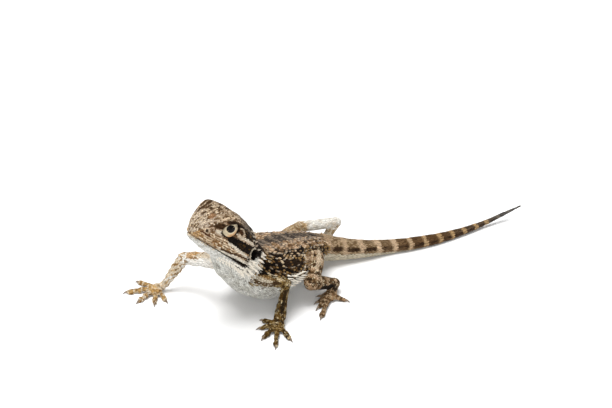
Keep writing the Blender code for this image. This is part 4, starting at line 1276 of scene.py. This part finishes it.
def head_side_points(back, height, side):
    """Points on the side of the head at places back from the snout and heights over the mouth line."""
    backs, rings, _ = PARTS["head"]
    found = []
    for b, h in zip(back, height):
        i = int(np.clip(round((b - backs[0]) / (backs[1] - backs[0])), 0, len(backs) - 1))
        _, left, up = head_coordinates(rings[i])
        order = np.argsort(up[left > 0])
        wide = np.interp(h, up[left > 0][order], left[left > 0][order])
        found.append(head_point(b, side * wide, h + mouth_height(b)))
    return np.array(found)


def spine_rows(at, lie, *columns):
    """Roots, lies, lengths, radii, places, turns and whiteness of one row of spines."""
    return np.column_stack([at, *(np.zeros(at.shape) + lie).T, *(np.zeros(len(at)) + c for c in columns)])


def body_spines():
    """Spines of the neck, the fringe along the flank and the back, the same on both sides."""
    places, rings, _ = PARTS["body"]
    rows = []
    for angle, first, last, spacing, length, radius, white in SPINE_ROWS:
        for mirrored in (angle, 180 - angle):
            turn = (mirrored / 360) % 1.0
            at = np.arange(first, last, spacing)
            at = at + 0.14 * spacing * rng.standard_normal(len(at))
            i = np.clip(np.searchsorted(places, at), 1, len(places) - 2)
            j = int(round(turn * rings.shape[1])) % rings.shape[1]
            size = length * (1 + 0.13 * rng.standard_normal(len(at)))
            lie = rings[i + 1, j] - rings[i - 1, j]
            rows.append(spine_rows(rings[i, j], lie, size, radius, at, turn, white))
    return np.concatenate(rows)


def head_spines():
    """Spines of the back of the skull, of the corner behind the cheek and of the beard."""
    rows = []
    for side in (1, -1):
        back, height, length, radius = np.array(HEAD_SPINES).T
        at = head_side_points(back, height, side)
        rows.append(spine_rows(at, BACK + 0.1 * side * LEFT, length, radius, back, 0.0, 0.5))
        for low, first, last, spacing, length in BEARD_ROWS:
            back = np.arange(first, last, spacing)
            grown = length * (0.55 + 0.45 * (back - first) / (last - first))
            at = head_side_points(back, np.full(len(back), low), side)
            rows.append(spine_rows(at, BACK - 0.2 * UP, grown, BEARD_RADIUS, back, 0.0, 1.0))
    return np.concatenate(rows)


def make_spines(name, tree):
    """All larger spines as one joined mesh, each leaning back out of the skin."""
    form, form_faces = spine_form()
    groups = (body_spines(), head_spines())
    owner = np.repeat((NUMBERS["body"], NUMBERS["head"]), [len(group) for group in groups])
    rows = np.concatenate(groups)
    spots, normals, keep = settle_on(tree, rows[:, :3], SPINE_REACH)
    keep &= ~bare(spots) & (spots[:, 2] > 0.8)
    rows, spots, normals, owner = rows[keep], spots[keep], normals[keep], owner[keep]
    length, radius, place, turn, white = rows[:, 6:].T
    lie = unit(flat_on(rows[:, 3:6], normals))
    fringe = (white > 0.8) & (place > 15) & (owner == NUMBERS["body"])
    outward = np.where(fringe, 1.3, 0.62)[:, None]
    axis = unit(normals * outward + lie + 0.12 * rng.standard_normal(lie.shape))
    side = unit(np.cross(axis, normals))
    shape = stamped(form, spots, (side, np.cross(side, axis), axis), (radius, radius, length))
    pick = rng.random(len(spots))
    root_colour = marked(spots, np.column_stack([owner, place, turn]), pick)
    white = white[:, None, None]
    pale = np.array((0.5, 0.38, 0.26)) * (1 - white) + np.array((0.78, 0.72, 0.62)) * white
    tone = 0.7 * np.clip(form[:, 2:], 0, 1) * (1 - white) + white * (0.75 + 0.25 * pick[:, None, None])
    colour = np.clip(root_colour[:, None] * (1 - tone) + pale * tone, 0, 1)
    chart = np.zeros((len(spots), 2))
    for member in ("body", "head"):
        chosen = owner == NUMBERS[member]
        chart[chosen] = chart_of(member, place[chosen], turn[chosen])
    patch = chart[:, None] + PATCH * form[:, [0, 2]] / np.array((2.0, 1.35))
    return joined(name, form_faces, shape, colour, patch)


def make_eye(name, side):
    """An eyeball with a round pupil in a pale gold iris, its colours in rings round its axis."""
    centre = head_point(EYE_BACK, side * EYE_SIDE, EYE_HEIGHT + mouth_height(EYE_BACK))
    axis = unit(EYE_LOOK[0] * BACK + EYE_LOOK[1] * side * LEFT + EYE_LOOK[2] * UP)
    along = unit(BACK - axis * np.dot(BACK, axis))
    upward = side * np.cross(axis, along)
    pupil = math.asin(PUPIL_RADIUS / EYE_RADIUS)
    angles = np.concatenate([
        np.linspace(0.0, pupil - 0.03, 6)[1:],
        pupil + np.array((-0.012, 0.012)),
        np.linspace(pupil + 0.05, 1.15, 16),
        np.linspace(1.25, math.pi - 0.15, 12),
    ])
    turns = 2 * math.pi * np.arange(EYE_SIDES) / EYE_SIDES
    angle, turn = (grid.reshape(-1, 1) for grid in np.meshgrid(angles, turns, indexing="ij"))
    out = unit(
        np.cos(angle) * axis
        + np.sin(angle) * np.cos(turn) * along
        + PUPIL_TALL * np.sin(angle) * np.sin(turn) * upward
    )
    points = centre + (EYE_RADIUS + CORNEA * bell(angle, 0.0, 0.5)) * out
    ends = centre + (EYE_RADIUS + CORNEA) * axis, centre - EYE_RADIUS * axis
    points = np.concatenate([ends[:1], points, ends[1:]])
    angle = np.concatenate([[0.0], angle[:, 0], [math.pi]])
    turn = np.concatenate([[0.0], turn[:, 0], [0.0]])
    streak = 0.5 + 0.5 * np.sin(turn * 23 + 2.5 * np.sin(turn * 7))
    colour = np.outer(0.86 + 0.2 * streak, (0.56, 0.47, 0.32))
    for shade, amount in (
        ((0.66, 0.55, 0.37), ramp(angle, pupil + 0.16, pupil + 0.02)),
        ((0.16, 0.09, 0.035), ramp(angle, 0.98, 1.12)),
        ((0.62, 0.27, 0.06), 0.6 * ramp(np.cos(turn - 5.2), 0.6, 0.95) * ramp(angle, 0.55, 0.75)),
        ((0.004, 0.003, 0.003), ramp(angle, pupil + 0.014, pupil - 0.014)),
    ):
        colour = mix(colour, shade, amount)
    front = np.arange(1, EYE_SIDES + 1)
    rear = front + (len(angles) - 1) * EYE_SIDES
    caps = [(0 * front, front, np.roll(front, -1)), (np.roll(rear, -1), rear, 0 * rear + len(points) - 1)]
    caps = np.concatenate([np.column_stack(cap) for cap in caps])
    faces = np.concatenate([halves(quads(len(angles), EYE_SIDES, 1))[:, ::-1], caps])
    return build_mesh(name, points, faces[:, ::side], colour)


def make_claws(name):
    """Twenty curved claws, dark along the top and paler at the root, as one joined mesh."""
    t = np.arange(CLAW_RINGS) / (CLAW_RINGS - 1)
    heights = 0.55 + 0.16 * np.sin(math.pi * np.minimum(t * 1.3, 1.0)) - 0.42 * t**1.6
    radius = 0.4 * (1 - t) ** 0.75 + 0.025
    shade = np.outer(1 - t, (0.33, 0.24, 0.16)) + np.outer(t, (0.07, 0.045, 0.03))
    shade = shade[:, None] * (0.8 + 0.25 * (1 - circle(CLAW_SIDES)[1]) / 2)[:, None]
    fan = np.arange(1, CLAW_SIDES - 1)[:, None] + (0, 1)
    fan = np.column_stack([0 * fan[:, 0], fan])
    form_faces = np.concatenate([
        halves(quads(CLAW_RINGS, CLAW_SIDES)),
        fan[:, ::-1],
        fan + (CLAW_RINGS - 1) * CLAW_SIDES,
    ])
    points = []
    for key, leg in LEGS.items():
        for index in range(DIGITS):
            root, out, side, toe = digit_path(leg, index, mirror_of(key))
            far = toe - 0.25 + t * (CLAW_LENGTH + 0.2)
            centres = root + far[:, None] * out + heights[:, None] * UPRIGHT
            points.append(oval_rings(centres, side, UPRIGHT, 0.72 * radius, radius, CLAW_SIDES))
    points = np.array(points).reshape(-1, CLAW_RINGS * CLAW_SIDES, 3)
    faces = form_faces + points.shape[1] * np.arange(len(points))[:, None, None]
    colour = np.tile(shade.reshape(-1, 3), (len(points), 1))
    ob = build_mesh(name, points.reshape(-1, 3), faces.reshape(-1, 3), colour)
    face_outward(ob.data)
    return ob


def set_inputs(node, values):
    for socket, value in values.items():
        node.inputs[socket].default_value = value


def material(name, roughness, bump, bump_size, vary, gloss_level):
    """The painted markings with fine variation, grain and gloss."""
    made = bpy.data.materials.new(name)
    made.use_nodes = True
    nodes = made.node_tree.nodes
    shader = nodes["Principled BSDF"]
    shader.inputs["Specular IOR Level"].default_value = gloss_level

    def node(kind, **values):
        new = nodes.new(f"ShaderNode{kind}")
        set_inputs(new, {socket.replace("_", " "): value for socket, value in values.items()})
        return new

    paint = node("VertexColor")
    paint.layer_name = "Marking"
    where = node("TexCoord")
    noise = node("TexNoise", Scale=1.0 / (bump_size * MM), Detail=3.0)
    tint = node("MapRange", From_Min=0.3, From_Max=0.7, To_Min=1.0 - vary, To_Max=1.0 + vary)
    scaled = node("VectorMath")
    scaled.operation = "SCALE"
    gloss = node("MapRange", To_Min=roughness - 0.08, To_Max=roughness + 0.1)
    relief = node("Bump", Strength=bump, Distance=0.05 * MM)
    for source, output, target, socket in (
        (where, "Object", noise, "Vector"),
        (noise, "Fac", tint, "Value"),
        (paint, "Color", scaled, 0),
        (tint, "Result", scaled, "Scale"),
        (scaled, "Vector", shader, "Base Color"),
        (noise, "Fac", gloss, "Value"),
        (gloss, "Result", shader, "Roughness"),
        (noise, "Fac", relief, "Height"),
        (relief, "Normal", shader, "Normal"),
    ):
        made.node_tree.links.new(source.outputs[output], target.inputs[socket])
    return made


def make_skin():
    """One surface over head, trunk, legs and tail, shaped, smoothed and painted."""
    ob = remeshed()
    mesh = ob.data
    bm = bmesh.new()
    bm.from_mesh(mesh)
    near_head = [f for f in bm.faces if head_coordinates(np.array(f.calc_center_median()))[0] < 22.0]
    edges = list({e for f in near_head for e in f.edges})
    bmesh.ops.subdivide_edges(bm, edges=edges, cuts=1, use_grid_fill=True)
    bmesh.ops.triangulate(bm, faces=[f for f in bm.faces if len(f.verts) > 4])
    bm.to_mesh(mesh)
    bm.free()
    ends = read(mesh.edges, "vertices", 2, int)
    points = read(mesh.vertices, "co", 3)
    for _ in range(6):
        points = relax(points, ends, 0.5)
    for shaped in (shape_skin, shape_head):
        set_points(mesh, points)
        points = shaped(points, read(mesh.vertices, "normal", 3))
    points = relax(points, ends, 0.25)
    set_points(mesh, points)
    points = points - SCALE_DEPTH * read(mesh.vertices, "normal", 3)
    points[:, 2] = np.maximum(points[:, 2], SOLE_HEIGHT)
    set_points(mesh, points)
    pick = np.clip((cloud(points, 0.35, 91) - 0.5) * 1.6 + 0.5, 0, 1)
    colour = marked(points, fields_under(points), pick)
    # The skin is painted darker than the markings, as painted shade in the gaps between the scales, most
    # where the markings are dark
    paint_points(mesh, colour * (0.42 + 0.36 * colour.mean(axis=1)[:, None]))
    return ob


def make_smooth(ob):
    ob.data.polygons.foreach_set("use_smooth", np.ones(len(ob.data.polygons), bool))


def turn_towards(ob, place, aim):
    ob.location = place
    ob.rotation_euler = (Vector(aim) - Vector(place)).to_track_quat("-Z", "Y").to_euler()


def area_light(name, place, aim, width, depth, power):
    data = bpy.data.lights.new(name, "AREA")
    data.shape = "RECTANGLE"
    data.size = width
    data.size_y = depth
    data.energy = power
    turn_towards(placed(name, data), place, aim)


def make_stage():
    """A plain pale floor and soft studio light."""
    mesh = bpy.data.meshes.new("floor")
    corners = [(x * FLOOR_REACH, y * FLOOR_REACH, 0.0) for x, y in ((-1, -1), (1, -1), (1, 1), (-1, 1))]
    mesh.from_pydata(corners, [], [(0, 1, 2, 3)])
    floor = placed("floor", mesh)
    paper = bpy.data.materials.new("floor_paper")
    paper.use_nodes = True
    shader = paper.node_tree.nodes["Principled BSDF"]
    set_inputs(shader, {"Base Color": FLOOR_COLOUR, "Roughness": 0.7, "Specular IOR Level": 0.2})
    mesh.materials.append(paper)
    world = bpy.data.worlds.new("studio")
    world.use_nodes = True
    set_inputs(world.node_tree.nodes["Background"], {"Color": WHITE, "Strength": SKY_STRENGTH})
    bpy.context.scene.world = world
    for name, values in LIGHTS.items():
        area_light(name, *values)
    bpy.context.scene.view_settings.view_transform = "Standard"


def make_camera(shift):
    data = bpy.data.cameras.new("camera")
    data.sensor_width = SENSOR_WIDTH
    data.lens = CAMERA_FOCUS / PICTURE_WIDTH * SENSOR_WIDTH
    data.clip_start = 0.01
    data.clip_end = 20.0
    ob = placed("camera", data)
    turn_towards(ob, (CAMERA_AT + shift) * MM, (CAMERA_AIM + shift) * MM)
    bpy.context.scene.camera = ob


def frame_shift():
    """How far the animal's own sizes lie from the frame, read from the left eye."""
    low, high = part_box("eye_left")
    centre = np.array((low + high) / 2) / MM
    back, height = SOLID_EYE
    return centre - head_point(back, EYE_SIDE, height + mouth_height(back))


PARTS = make_parts()
NUMBERS = {name: n for n, name in enumerate(PARTS)}


def main():
    shift = frame_shift()
    skin = make_skin()
    polygons = [tuple(f.vertices) for f in skin.data.polygons]
    tree = BVHTree.FromPolygons(read(skin.data.vertices, "co", 3).tolist(), polygons)
    coats = [make_scales(name, [m for m in PARTS if m.startswith(start)], tree) for name, start in COATS]
    spines = make_spines("spines", tree)
    eyes = [make_eye("eyeball_left", 1), make_eye("eyeball_right", -1)]
    claws = make_claws("claws")
    for kind, obs in zip(FINISHES, ([skin], coats, [spines], eyes, [claws])):
        finish = material(f"{kind}_finish", *FINISHES[kind])
        for ob in obs:
            ob.data.materials.append(finish)
    for ob in [skin, claws] + eyes:
        make_smooth(ob)
    flesh = [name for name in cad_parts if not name.startswith("eye")]
    for ob in [skin, claws] + coats + [spines] + eyes:
        set_points(ob.data, (read(ob.data.vertices, "co", 3) + shift) * MM)
        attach(ob, "root")
    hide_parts(*flesh)
    for eye, node in zip(eyes, ("eye_left", "eye_right")):
        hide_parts(node)
    make_stage()
    make_camera(shift)


main()
